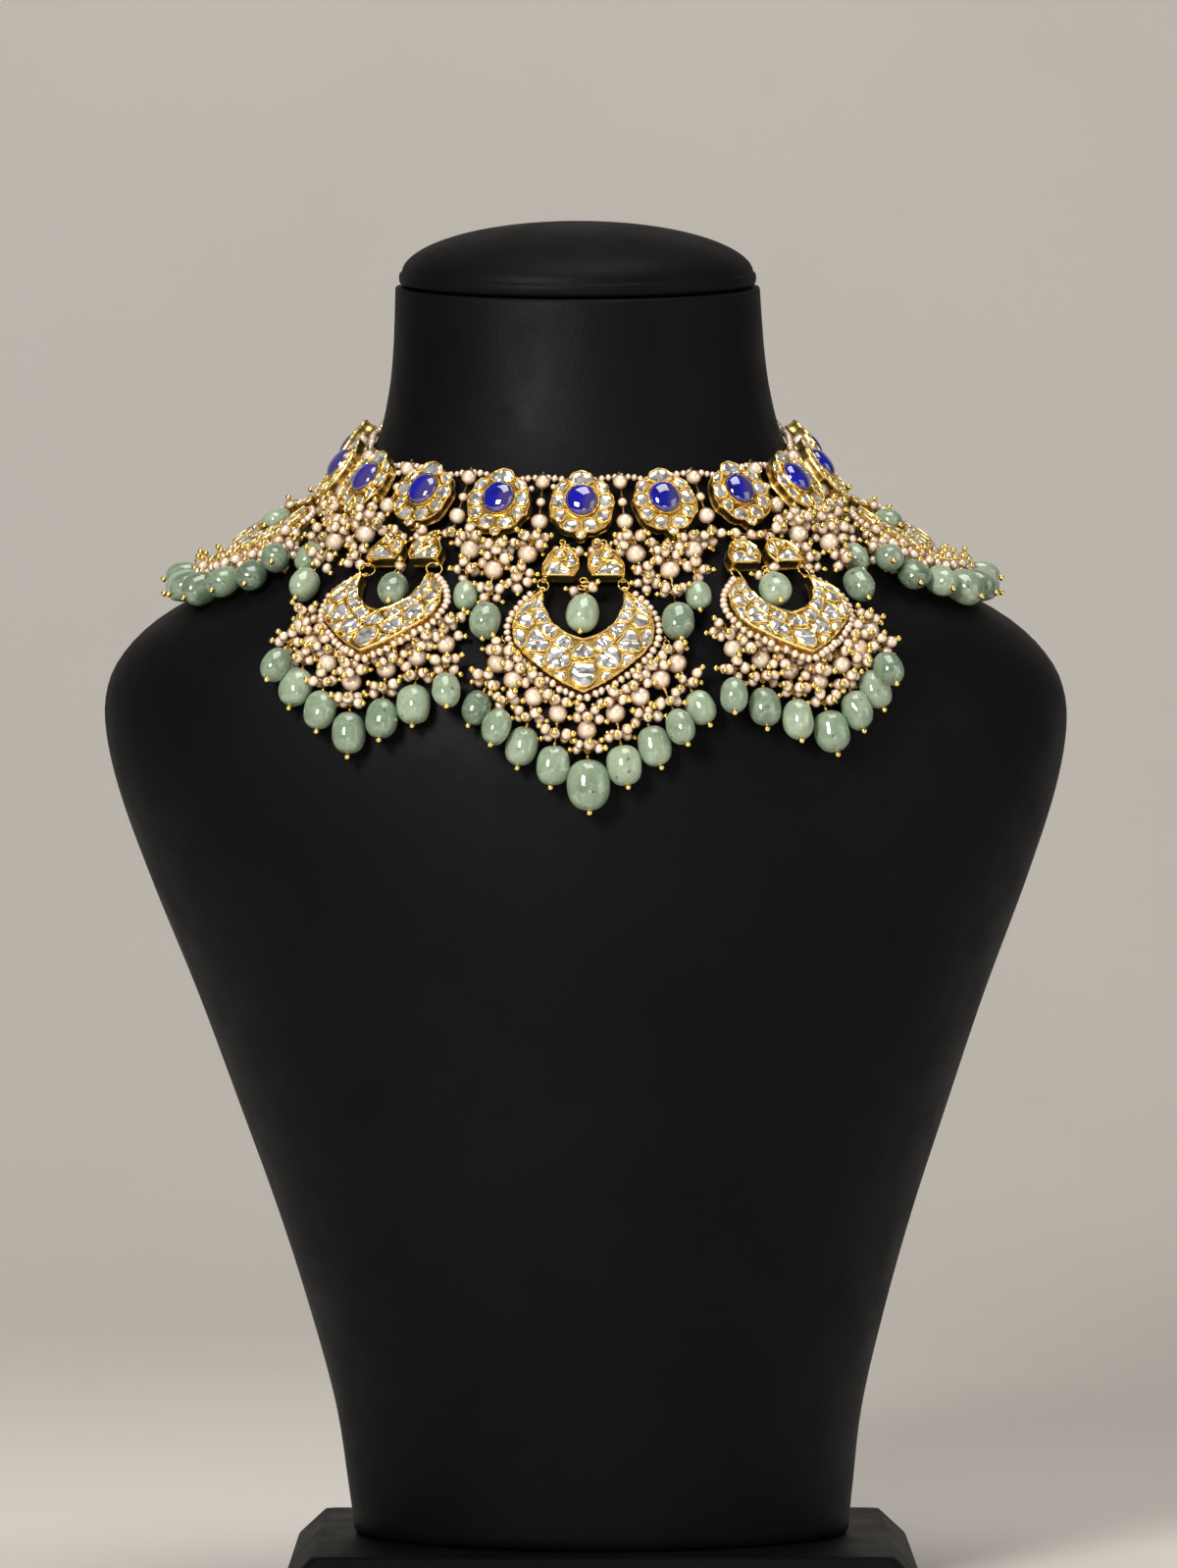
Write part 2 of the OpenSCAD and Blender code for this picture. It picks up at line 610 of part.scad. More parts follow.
module greens(k) {
    color("#86ad97") {
        for (d = drops_of(k)) drop_green(d);
        heart_bead(heart_drop(k));
    }
}
module pearls(k) { color("#e8c9b0") for (d = drops_of(k)) drop_pearl(d); }
module wires(groups) {
    color("#c9962e")
        for (k = groups) {
            for (d = drops_of(k)) drop_wire(d);
            heart_wire(heart_drop(k));
        }
}

// Columns of pearls between the medallions
columns = [for (i = [-medallions_each_side:medallions_each_side - 1]) (i + 0.5) * medallion_pitch];
column_top = 7.1;
column_low = -6.4;
function column_point(s, y, lift) = on_frame(ring_frame(s, lift), 0, y, 0);
column_lift = 3.9;
module spacer_pearls() {
    color("#e8c9b0")
        for (s = columns) {
            top = column_point(s, column_top, column_lift);
            low = column_point(s, column_low, column_lift);
            down = unit(low - top);
            drilled_pearl(top - down, top + down, spacer_top_d);
            drilled_pearl(low - down, low + down, spacer_low_d);
        }
}
module spacer_pins() {
    color("#c9962e")
        for (s = columns) {
            top = column_point(s, column_top, column_lift);
            low = column_point(s, column_low, column_lift);
            down = unit(low - top);
            union() {
                rod(top - down * (spacer_top_d / 2 + 0.7), low + down * (spacer_low_d / 2 + 1), wire_r);
                dot(top - down * (spacer_top_d / 2 + 0.7), down, 0.5);
                dot(low + down * (spacer_low_d / 2 + 1), down, 0.7);
            }
        }
}

// Round strand along points, each ring square to the strand
STRAND_SIDES = 8;
module strand(points, r) {
    last = len(points) - 1;
    loft([for (k = [0:last])
        let (
            d = unit(points[min(k + 1, last)] - points[max(k - 1, 0)]),
            f = frame(points[k], d, [0, 0, 1])
        )
        [for (j = [0:STRAND_SIDES - 1]) on_frame(f, -r * sin(j * 45), r * cos(j * 45), 0)]]);
}
strand_lift = strand_r + 0.3;
edge_rise = 9.8;
end_angle = ring_angle((medallions_each_side + 0.5) * medallion_pitch);
function edge_point(angle) =
    let (p = ring_point(angle), n = skin_normal(angle, p.z), f = frame(p, n, [0, 0, 1]))
    outer_point(f, 0, edge_rise, strand_lift);
module edging() {
    color("#e8c9b0") strand([for (t = [-1:1 / 18:1.001]) edge_point(t * end_angle)], strand_r);
}
// Two strands on each side, from the last medallion round to the clasp at the nape
clasp_half = 7;
function back_point(side, t, drop_z) =
    let (
        a = end_angle + 1.5 + (180 - end_angle - 1.5 - 8.5) * t,
        base_p = ring_point(a),
        n = skin_normal(a, base_p.z),
        f = frame(base_p, n, [0, 0, 1]),
        p = outer_point(f, 0, edge_rise * (1 - t) * drop_z + 1.6 * t * sign(drop_z), strand_lift)
    )
    [axis_x(p.z) + side * (p.x - axis_x(p.z)), p.y, p.z];
module back_strands() {
    color("#e8c9b0")
        for (side = [-1, 1]) for (row = [1, -0.5])
            strand([for (k = [0:12]) back_point(side, k / 12, row)], strand_r);
}
module clasp() {
    p = ring_point(180);
    n = skin_normal(180, p.z);
    color("#c9962e")
        place(frame(p + n * 0.6, n, [0, 0, 1])) union() {
            translate([-clasp_half, -3.2, 0]) cube([2 * clasp_half, 6.4, 1.8]);
            cylinder(h = 3, r = 2.4, $fn = 32);
        }
}

bust();
cap();
base();
for (i = [0:2 * medallions_each_side]) {
    medallion(i - medallions_each_side);
    sapphire(i - medallions_each_side);
}
for (k = [0:4]) {
    bird(k, -1);
    bird(k, 1);
    crescent(frame_of(k), size_of(k));
    greens(k);
    pearls(k);
}
spacer_pearls();
spacer_pins();
edging();
back_strands();
clasp();
wires([0]);  // wires_centre
wires([1, 3]);  // wires_left
wires([2, 4]);  // wires_right
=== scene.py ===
"""Looks of the polki necklace on its neck bust. Lengths are in millimetres until a piece is made."""
import math

import bpy
import numpy as np
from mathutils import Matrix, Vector
from mathutils.geometry import tessellate_polygon


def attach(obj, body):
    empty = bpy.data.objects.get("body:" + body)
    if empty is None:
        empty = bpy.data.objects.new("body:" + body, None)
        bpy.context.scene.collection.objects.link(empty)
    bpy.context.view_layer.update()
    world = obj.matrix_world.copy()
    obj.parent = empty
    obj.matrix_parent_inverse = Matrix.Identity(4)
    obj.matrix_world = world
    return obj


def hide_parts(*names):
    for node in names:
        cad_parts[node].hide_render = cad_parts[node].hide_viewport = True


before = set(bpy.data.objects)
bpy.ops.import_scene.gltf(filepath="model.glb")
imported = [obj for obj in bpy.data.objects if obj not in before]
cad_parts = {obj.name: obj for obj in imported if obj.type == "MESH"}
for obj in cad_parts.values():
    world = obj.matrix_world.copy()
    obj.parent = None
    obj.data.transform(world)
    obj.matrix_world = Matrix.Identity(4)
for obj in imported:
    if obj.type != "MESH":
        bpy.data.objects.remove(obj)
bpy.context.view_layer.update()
rng = np.random.default_rng(41)

MM = 0.001
TAU = 2 * math.pi


# Measures that the part's source also has
BUST_LEAN = 1.1
NECK_TOP = 400
CAP_RIM, CAP_DOME, CAP_TILT = 4.2, 15, 7.3
BASE_H, BASE_W, BASE_D, BASE_BEVEL = 19, 192, 150, 9
RING_FRONT_Z, RING_RISE, RING_TOP_Z = 330.5, 13, 362
PITCH, EACH_SIDE = 23.3, 5
MEDALLION_H, MEDALLION_WALL, MEDALLION_LIFT = 23, 4, 2.9
SAPPHIRE_W, SAPPHIRE_H, SAPPHIRE_DROP = 9.2, 10.2, 0.4
SPACER_TOP_D, SPACER_LOW_D = 4.6, 5.2
STRAND_R = 1.1
PLATE_T, LEDGE_W, SIDE_SCALE, OUTER_SCALE, OUTER_BIRD = 4.6, 2.2, 0.92, 0.7, 0.6
PENDANT_LIFT, OUTER_LIFT = 1.9, 1.8
PEARL_D, GREEN_W, GREEN_L, BALL_R = 6, 9.8, 11.8, 0.9
# Wires, which the source has in one thickness: of loops, of wrapping and of the drops' own stems
LOOP_WIRE, COIL_WIRE, STEM_WIRE = 0.2, 0.17, 0.24
CLEAR = 0.3
SEAT = 7

# Bust sections: height, half width, front depth, back depth
BUST_ROWS = np.array([
    (BASE_H, 75.5, 54, 50), (32, 77, 56, 50), (58, 80.5, 62, 51), (88, 88, 70, 53), (118, 97, 78, 56),
    (150, 108, 86.5, 60), (184, 120, 94, 64), (220, 134, 99, 68), (248, 143.5, 100, 70),
    (268, 147, 98, 69), (281, 145, 94.5, 67), (291, 138.5, 90.5, 65), (299, 129.5, 86, 62),
    (305, 119.5, 82, 60), (312, 107, 77, 58), (320, 93.5, 71.5, 56), (330, 80.5, 65.5, 54),
    (341, 69.8, 60.5, 52), (353, 62.2, 56.5, 50), (367, 58.4, 53.5, 48.5), (382, 56.6, 51.5, 47.5),
    (NECK_TOP, 55.7, 50.5, 47)])
WIDE, FRONT, BACK = 1, 2, 3


def vec(*v):
    return np.array(v, float)


def unit(v):
    return v / np.linalg.norm(v)


def sin(a):
    return math.sin(math.radians(a))


def cos(a):
    return math.cos(math.radians(a))


def axis_x(z):
    return -z * math.tan(math.radians(BUST_LEAN))


def section(c, z):
    """Smooth curve through column c of the bust's sections."""
    rows, last = BUST_ROWS, len(BUST_ROWS) - 1
    i = min(max(int(np.searchsorted(rows[:, 0], z, side="right")) - 1, 0), last - 1)

    def slope(k):
        lo, hi = max(k - 1, 0), min(k + 1, last)
        return (rows[hi, c] - rows[lo, c]) / (rows[hi, 0] - rows[lo, 0])

    h = rows[i + 1, 0] - rows[i, 0]
    t = (z - rows[i, 0]) / h
    return ((2 * t ** 3 - 3 * t ** 2 + 1) * rows[i, c] + (t ** 3 - 2 * t ** 2 + t) * h * slope(i)
            + (3 * t ** 2 - 2 * t ** 3) * rows[i + 1, c] + (t ** 3 - t ** 2) * h * slope(i + 1))


def skin(angle, z):
    """Point of the bust's skin, at an angle round its axis that is 0 at the front and 90 at +X."""
    s, c = sin(angle), cos(angle)
    deep = section(FRONT, z) if c >= 0 else section(BACK, z)
    r = 1 / math.hypot(s / section(WIDE, z), c / deep)
    return vec(axis_x(z) + r * s, -r * c, z)


def skin_normal(angle, z):
    return unit(np.cross(skin(angle + 1, z) - skin(angle - 1, z),
                         skin(angle, z + 0.5) - skin(angle, z - 0.5)))


NECK_X = axis_x(RING_FRONT_Z)


def front_skin(x, z):
    u = x + NECK_X - axis_x(z)
    return vec(x + NECK_X, -section(FRONT, z) * math.sqrt(max(0.02, 1 - (u / section(WIDE, z)) ** 2)), z)


def front_normal(x, z):
    return unit(np.cross(front_skin(x + 0.5, z) - front_skin(x - 0.5, z),
                         front_skin(x, z + 0.5) - front_skin(x, z - 0.5)))


def front(x, z, lift):
    return front_skin(x, z) - vec(0, lift / max(0.3, -front_normal(x, z)[1]), 0)


def inside_measure(p):
    """Below 1 inside the bust, above 1 outside it."""
    deep = section(FRONT, p[2]) if p[1] <= 0 else section(BACK, p[2])
    return ((p[0] - axis_x(p[2])) / section(WIDE, p[2])) ** 2 + (p[1] / deep) ** 2


SEARCH, HALVINGS = 60.0, 14


def settle(p, d):
    """Point where the way from p along d meets the bust."""
    near, far = 0.0, SEARCH
    for _ in range(HALVINGS):
        mid = (near + far) / 2
        if inside_measure(p + d * mid) < 1:
            far = mid
        else:
            near = mid
    return p + d * (near + far) / 2


def frame_at(p, n, up_hint):
    right = unit(np.cross(up_hint, n))
    return p, right, np.cross(n, right), n


def on_frame(f, x, y, z):
    return f[0] + f[1] * x + f[2] * y + f[3] * z


def ring_z(angle):
    return RING_FRONT_Z + RING_RISE * (1 - cos(angle)) * (1 + 0.15 * (1 - cos(angle)) ** 2)


def ring_point(angle):
    return skin(angle, min(ring_z(angle), RING_TOP_Z))


ARC_STEP = 3
arc_angles = np.arange(0, 181, ARC_STEP)
arc_lengths = np.concatenate([[0], np.cumsum([
    np.linalg.norm(ring_point(a + ARC_STEP) - ring_point(a)) for a in arc_angles[:-1]])])


def ring_angle(s):
    return math.copysign(np.interp(abs(s), arc_lengths, arc_angles), s)


def ring_frame(s, lift):
    a = ring_angle(s)
    z = ring_z(a)
    high, low = skin(a, z + SEAT), skin(a, z - SEAT)
    n = unit(np.cross(skin(a + 4, z) - skin(a - 4, z), high - low))
    return frame_at((high + low) / 2 + n * lift, n, high - low)


# Pendant frames
OUTER_ANGLE, OUTER_TIP_Z, OUTER_SWING = 82, 324.5, 20


def turned(n, angle):
    return vec(n[0] * cos(angle) - n[1] * sin(angle), n[0] * sin(angle) + n[1] * cos(angle), n[2])


def front_frame(x, z, slope, turn, drop):
    n = turned(front_normal(x * 1.1, z - drop), turn)
    dx, dz = cos(slope), sin(slope)
    right = unit(vec(dx, -(dx * n[0] + dz * n[2]) / n[1], dz))
    return front(x, z, PENDANT_LIFT), right, np.cross(n, right), n


def outer_frame(side):
    """Frame of a shoulder pendant, which swings outwards."""
    n = skin_normal(side * (OUTER_ANGLE - 6), OUTER_TIP_Z - 10)
    tips = skin(side * OUTER_ANGLE, OUTER_TIP_Z) + n * (PENDANT_LIFT + OUTER_LIFT)
    p, right, up, _ = frame_at(tips, n, vec(0, 0, 1))
    c, s = cos(OUTER_SWING), side * sin(OUTER_SWING)
    return p, right * c - up * s, up * c + right * s, n


PENDANTS = ["centre", "left", "right", "outer_left", "outer_right"]
FRAMES = [front_frame(0.5, 305, 0, 0, 12), front_frame(-53.8, 309.2, 0.2, -4.4, 0.8),
          front_frame(55.9, 308.3, 2.4, -0.3, -2), outer_frame(-1), outer_frame(1)]
SIZES = [1, SIDE_SCALE, SIDE_SCALE, OUTER_SCALE, OUTER_SCALE]
BIRD_SIZES = [1, 1, 1, OUTER_BIRD, OUTER_BIRD]
BIRD_SHIFT, BIRD_RISES = 6.5, [4.2, 5.4, 5.4, 2.4, 2.4]

# Crescent: x and y down from the tips, of its outer edge from tip to point and of its inner one from the middle
CRESCENT_OUTER = [(12.4, 0), (16.8, 4.2), (20, 8.5), (21, 12.3), (20.6, 16.4), (18, 21.2), (11.1, 27.6),
                  (6.4, 31), (0, 34.5)]
CRESCENT_INNER = [(0, 16.6), (4.2, 15), (8.4, 12), (10.9, 7.8), (11.9, 3.6), (11.8, 0.4)]


def rim_point(s, t, gap):
    """Point at a share t of the way up a crescent's outer edge, moved out by gap."""
    outer = np.array([(x, -y) for x, y in CRESCENT_OUTER]) * s
    last = len(outer) - 1
    f = last * (1 - abs(t))
    i = min(int(f), last - 1)
    along = unit(outer[i + 1] - outer[i])
    p = outer[i] + (outer[i + 1] - outer[i]) * (f - i)
    q = p + (vec(0, -gap) if abs(t) < 0.01 else gap * vec(-along[1], along[0]))
    return (-q[0] if t < 0 else q[0]), q[1]


# Fans, first of the pearls, then of the green beads: middle, then step, pinch and rise inwards and outwards
FANS = {
    "centre": ((1.5, 265.5), (9, 0.6, 4.85), (9, 0.6, 4.85),
               (2, 249.7), (11.2, 0.75, 5.6), (11.2, 0.75, 5.6)),
    "left": ((-67.6, 279.6), (10.7, 0.5, 3.6), (8.4, 1.1, 5.5),
             (-68.4, 264.5), (9.6, 0, 4.3), (9.3, 0.7, 6.7)),
    "right": ((69.6, 279.6), (8.7, 0.1, 3.2), (7.6, 0.8, 4.9),
              (73.4, 265.1), (10.2, 0.2, 3.5), (8.4, 0.9, 6.1))}
# Drops between the pendants: pearl, end, width, length, start's shift to the middle and its rise
GAP_DROPS = [((33, 318.5), (34.4, 305), 7.4, 9.6, 2.7, 4.8),
             ((26, 312.4), (28.4, 297.5), 9.6, 11.6, 1.4, 8.8),
             ((16, 317.2), (19, 308.5), 0, 0, 1.6, 5.9),
             ((74.4, 327.2), (81.5, 316.5), 7.8, 10.4, 2.9, 5.9),
             ((74, 321), (82.4, 308.5), 8.6, 11.4, 4, 7.3),
             ((64.6, 323.4), (66.4, 315), 0, 0, 0.4, 6.1)]
# Lift of the green beads by their number from the middle, so that neighbours overlap
STACK = [0, 1.2, 0, 4.6, 0.6]
RIM_SHARE, OUTER_RIM_SHARE, UNDER_START = 0.56, 0.46, -0.7
OUTER_COUNT, OUTER_FAN_STEP, OUTER_FAN_TURN, OUTER_PEARL_R, OUTER_GREEN_R = 3, 13.5, 6, 31.2, 41.4


# Knots: half the length of one at the end of a drop, and the way of one above its pearl
KNOT_HALF, KNOT_ABOVE = 0.8, 1.3
BALL_BELOW = 0.4


class Drop:
    """Start, knot above the pearl, pearl, knot above the end, end bead and end ball of one drop."""

    def __init__(self, start, pearl, end, w, l):
        down = unit(end - pearl)
        self.half = l / 2 if w > 0 else KNOT_HALF
        gap = (np.linalg.norm(end - pearl) - PEARL_D / 2 - self.half) / 2
        self.start, self.pearl, self.end, self.w, self.l = start, pearl, end, w, l
        self.knot = pearl + down * (PEARL_D / 2 + gap)
        self.upper = pearl - down * (PEARL_D / 2 + KNOT_ABOVE)
        self.ball = end + down * (self.half + 0.5 * BALL_R + BALL_BELOW)
        self.down = down


def rim_start(f, size, t, h=LEDGE_W / 2):
    x, y = rim_point(size, t, LEDGE_W + CLEAR + 0.6)
    return on_frame(f, x, y, h)


def green_size(i):
    return {0: 1.08, 3: 0.92, 4: 0.88}.get(abs(i), 1)


def fan_place(middle, inwards, outwards, side, i):
    k = abs(i)
    step, pinch, rise = inwards if i < 0 else outwards
    return middle[0] + side * np.sign(i) * (step * k - pinch * k * k), middle[1] + rise * k


def front_drops(name, f, size, side, count, big, under):
    """Drops of a front fan. Those up to number under start below the plate."""
    row = FANS[name]
    made = []
    for i in range(-count, count + 1):
        px, pz = fan_place(*row[:3], side, i)
        gx, gz = fan_place(*row[3:], side, i)
        s = big if i == 0 else green_size(i)
        start = rim_start(f, size, side * i / count * RIM_SHARE, LEDGE_W / 2 if i > under else UNDER_START)
        made.append(Drop(start, front(px, pz, PEARL_D / 2 + CLEAR + 0.4),
                         front(gx, gz, GREEN_W * s / 2 + CLEAR + STACK[abs(i)]), GREEN_W * s, GREEN_L * s))
    return made


HOVER = 20


def outer_point(f, x, y, lift):
    """Point lifted off the bust, found from one that hovers over it in frame f."""
    return settle(on_frame(f, x, y, HOVER), -f[3]) + f[3] * lift


def outer_drops(f, side):
    made = []
    for i in range(-OUTER_COUNT, OUTER_COUNT + 1):
        k, a = abs(i), i * OUTER_FAN_STEP + side * OUTER_FAN_TURN
        s = green_size(i) * 0.95
        pr, gr = OUTER_PEARL_R - 1.1 * k, OUTER_GREEN_R - 1.3 * k
        made.append(Drop(rim_start(f, OUTER_SCALE, i / OUTER_COUNT * OUTER_RIM_SHARE),
                         outer_point(f, pr * sin(a), -pr * cos(a), PEARL_D / 2 + CLEAR + 1),
                         outer_point(f, gr * sin(a), -gr * cos(a),
                                     GREEN_W * s / 2 + CLEAR + 0.6 + STACK[k] / 2),
                         GREEN_W * s, GREEN_L * s))
    return made


def gap_drops(side):
    return [Drop(front(side * (p[0] - shift), p[1] + rise, 3.4),
                 front(side * p[0], p[1], PEARL_D / 2 + CLEAR + 0.5),
                 front(side * e[0], e[1], max(w / 2, 1.5) + CLEAR + 0.2), w, l)
            for p, e, w, l, shift, rise in GAP_DROPS]


DROPS = [front_drops("centre", FRAMES[0], 1, 1, 4, 1.3, -5),
         front_drops("left", FRAMES[1], SIDE_SCALE, -1, 3, 1.08, 0) + gap_drops(-1),
         front_drops("right", FRAMES[2], SIDE_SCALE, 1, 3, 1.08, 1) + gap_drops(1),
         outer_drops(FRAMES[3], -1), outer_drops(FRAMES[4], 1)]


HEART_W, HEART_L = 10, 12.2


class Heart:
    """Green bead that hangs in the opening of a crescent."""

    def __init__(self, f, top, mid, size):
        self.w, self.l = HEART_W * size, HEART_L * size
        self.top = on_frame(f, *top)
        self.mid = on_frame(f, *mid)
        self.down = unit(self.mid - self.top)
        self.ball = self.mid + self.down * (self.l / 2 + 0.5 * BALL_R + BALL_BELOW)


# Top of the wire and middle of the bead in the pendant's frame, then size
HEART_ROWS = [((1.2, 3.6, 1.4), (-0.2, -8.6, 4.6), 1), ((0.2, 5, 1.4), (2.4, -7.2, 4.6), 0.92),
              ((-0.2, 5, 1.4), (-2.6, -6.4, 4.6), 0.92), ((0, 3.4, 1.4), (0, -5.4, 3.8), 0.76),
              ((0, 3.4, 1.4), (0, -5.4, 3.8), 0.76)]
HEARTS = [Heart(f, *row) for f, row in zip(FRAMES, HEART_ROWS)]


# Mesh building
class Shape:
    """Vertices and faces of one piece. Each face has a material index and a smooth flag, and each vertex has
    a tone and a grain place, which its materials read. The tone is random on beads and stones, and painted light
    on the gold plates and the cabochons: painted shade and highlights on the gold, a painted reflection on the
    cabochons."""

    def __init__(self):
        self.verts, self.tones, self.grains, self.count = [], [], [], 0
        self.loops, self.sizes, self.materials, self.smooths = [], [], [], []

    def add(self, verts, faces, material=0, tone=0.5, grain=None, smooth=True):
        verts = np.asarray(verts, float)
        self.verts.append(verts)
        self.tones.append(np.broadcast_to(np.asarray(tone, float), len(verts)))
        self.grains.append(verts if grain is None else grain)
        for block in faces:
            block = np.asarray(block, int)
            if len(block):
                self.loops.append((block + self.count).ravel())
                self.sizes.append(np.full(len(block), block.shape[1]))
                self.materials.append(np.full(len(block), material))
                self.smooths.append(np.full(len(block), smooth))
        self.count += len(verts)

    def object(self, name, sharp=None):
        verts = np.concatenate(self.verts) * MM
        loops, sizes = np.concatenate(self.loops), np.concatenate(self.sizes)
        mesh = bpy.data.meshes.new(name)
        mesh.vertices.add(len(verts))
        mesh.vertices.foreach_set("co", verts.ravel())
        mesh.loops.add(len(loops))
        mesh.loops.foreach_set("vertex_index", loops)
        mesh.polygons.add(len(sizes))
        mesh.polygons.foreach_set("loop_start", np.concatenate([[0], np.cumsum(sizes)[:-1]]))
        mesh.polygons.foreach_set("material_index", np.concatenate(self.materials))
        mesh.polygons.foreach_set("use_smooth", np.concatenate(self.smooths))
        mesh.update(calc_edges=True)
        mesh.attributes.new("tone", "FLOAT", "POINT").data.foreach_set("value", np.concatenate(self.tones))
        mesh.attributes.new("grain", "FLOAT_VECTOR", "POINT").data.foreach_set(
            "vector", (np.concatenate(self.grains) * MM).ravel())
        if sharp:
            mesh.set_sharp_from_angle(angle=math.radians(sharp))
        obj = bpy.data.objects.new(name, mesh)
        bpy.context.scene.collection.objects.link(obj)
        return obj


def piece(name, shape, materials, replaced=(), sharp=None):
    obj = shape.object(name, sharp)
    for m in materials:
        obj.data.materials.append(m)
    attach(obj, "root")
    if replaced:
        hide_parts(*replaced)
    return obj


def place(local, f):
    local = np.asarray(local, float)
    return f[0] + local[:, :1] * f[1] + local[:, 1:2] * f[2] + local[:, 2:3] * f[3]


def aimed(p, d):
    d = unit(d)
    return frame_at(p, d, vec(0, 1, 0) if abs(d[2]) > 0.9 else vec(0, 0, 1))


def ring_faces(rings, n):
    """Quads between rings of n points each that follow each other."""
    i = np.arange(n)
    j = (i + 1) % n
    return np.concatenate([np.stack([i + k * n, j + k * n, j + (k + 1) * n, i + (k + 1) * n], 1)
                           for k in range(rings - 1)])


def level(p, z):
    """Points of a flat outline with their height."""
    return np.column_stack([p, np.broadcast_to(z, len(p))])


def circle(n):
    a = np.arange(n) * TAU / n
    return np.stack([np.cos(a), np.sin(a)], 1)


def add_rings(shape, rings, f=None, low=True, high=True, tone=0.5, grain=None):
    """Wall through rings of points in frame f, closed at its ends unless told otherwise."""
    v, n = np.concatenate(rings), len(rings[0])
    i = np.arange(n)
    faces = [ring_faces(len(rings), n)]
    if low:
        faces.append(i[None, ::-1])
    if high:
        faces.append((len(rings) - 1) * n + i[None])
    shape.add(place(v, f) if f else v, faces, 0, tone, grain)


def turned_rings(r, z, n):
    """Points of rings of the given radii and heights round the z axis."""
    return np.concatenate([level(circle(n) * radius, height) for radius, height in zip(r, z)])


def drilled_ball(n, m, bore):
    """Unit ball drilled along z."""
    first = math.asin(bore)
    lat = np.linspace(first, math.pi - first, m)
    r, z = np.sin(lat), np.cos(lat)
    r, z = np.append(r, [r[-1], r[0]]), np.append(z, [z[-1] * 0.9, z[0] * 0.9])
    i, last = np.arange(n), (len(r) - 1) * n
    inside = np.stack([i + last, (i + 1) % n + last, (i + 1) % n, i], 1)
    return turned_rings(r, z, n), [np.concatenate([ring_faces(len(r), n), inside])[:, ::-1]]


def ball(n, m):
    """Unit ball with its poles along z."""
    lat = np.linspace(0, math.pi, m + 1)[1:-1]
    v = np.concatenate([turned_rings(np.sin(lat), np.cos(lat), n), [[0, 0, 1], [0, 0, -1]]])
    i = np.arange(n)
    top, low, end = len(v) - 2, len(v) - 1, (m - 2) * n
    return v, [ring_faces(m - 1, n)[:, ::-1], np.stack([np.full(n, top), i, (i + 1) % n], 1),
               np.stack([np.full(n, low), end + (i + 1) % n, end + i], 1)]


def path_frames(points, closed=False):
    """Right and up vectors that turn as little as they can along a path."""
    points = np.asarray(points, float)
    if closed:
        t = np.roll(points, -1, 0) - np.roll(points, 1, 0)
    else:
        t = np.gradient(points, axis=0)
    t /= np.linalg.norm(t, axis=1)[:, None]
    # any direction well away from the first step
    right = unit(np.cross(t[0], vec(0.31, 0.95, 0.1) if abs(t[0][1]) < 0.8 else vec(1, 0.1, 0.2)))
    rights = []
    for d in t:
        right = unit(right - d * (right @ d))
        rights.append(right)
    rights = np.array(rights)
    return rights, np.cross(t, rights)


def tube(points, radius, sides=6, closed=False):
    points = np.asarray(points, float)
    rights, ups = path_frames(points, closed)
    a = np.arange(sides) * TAU / sides
    radius = np.broadcast_to(np.asarray(radius, float), len(points))
    ring = (np.cos(a)[None, :, None] * rights[:, None] + np.sin(a)[None, :, None] * ups[:, None])
    v = (points[:, None] + ring * radius[:, None, None]).reshape(-1, 3)
    faces = [ring_faces(len(points), sides)]
    i = np.arange(sides)
    if closed:
        last = (len(points) - 1) * sides
        # the frames may have turned on the way round, so the last ring joins at the nearest corner
        turn = int(np.argmin(np.linalg.norm(v[:sides] - v[last], axis=1)))
        faces.append(np.stack([last + i, last + (i + 1) % sides, (i + 1 + turn) % sides,
                               (i + turn) % sides], 1))
    else:
        faces += [i[None, ::-1], (len(points) - 1) * sides + i[None]]
    return v, faces


def add_tube(shape, points, radius, sides=6, closed=False, material=0):
    v, faces = tube(points, radius, sides, closed)
    shape.add(v, faces, material)


def add_loop(shape, centre, normal, radius, wire=LOOP_WIRE, n=14, sides=6):
    f = frame_at(centre, unit(normal), vec(0.3, 0.2, 1))
    add_tube(shape, place(level(circle(n) * radius, 0), f), wire, sides, closed=True)


def add_rod(shape, p, q, r, sides=6):
    add_tube(shape, [p, (p + q) / 2, q], r, sides)


COIL_STEPS = 9


def add_coil(shape, p, q, radius, turns):
    """Wrapped wire from p to q."""
    t = np.linspace(0, 1, int(turns * COIL_STEPS))
    a = t * turns * TAU
    helix = np.stack([radius * np.cos(a), radius * np.sin(a), t * np.linalg.norm(q - p)], 1)
    add_tube(shape, place(helix, aimed(p, q - p)), COIL_WIRE, 5)


def add_ball(shape, template, p, r, material=0):
    v, faces = template
    shape.add(v * r + p, faces, material)


WAVES, WAVE_PITCH = 4, 1.7


def wobble(v, amount, seed):
    """Slow random swellings for a hand-made surface, given unit directions v."""
    r = np.random.default_rng(seed)
    total = np.zeros(len(v))
    for _ in range(WAVES):
        k = r.normal(size=3) * WAVE_PITCH
        total += np.sin(v @ k + r.uniform(0, TAU))
    return 1 + amount * total / math.sqrt(WAVES)


def add_bead(shape, p, d, sizes, template, rough=0.0):
    """Bead with half sizes along its own x, y and drill line, with a random spin, tone and grain."""
    seed = int(rng.integers(1 << 30))
    spin = rng.uniform(0, TAU)
    v, faces = template
    f = aimed(p, d)
    right = f[1] * math.cos(spin) + f[2] * math.sin(spin)
    f = (f[0], right, np.cross(f[3], right), f[3])
    w = v * np.asarray(sizes, float)
    if rough:
        w = w * wobble(v, rough, seed)[:, None]
    shape.add(place(w, f), faces, 0, rng.uniform(), w + rng.uniform(-400, 400, 3))


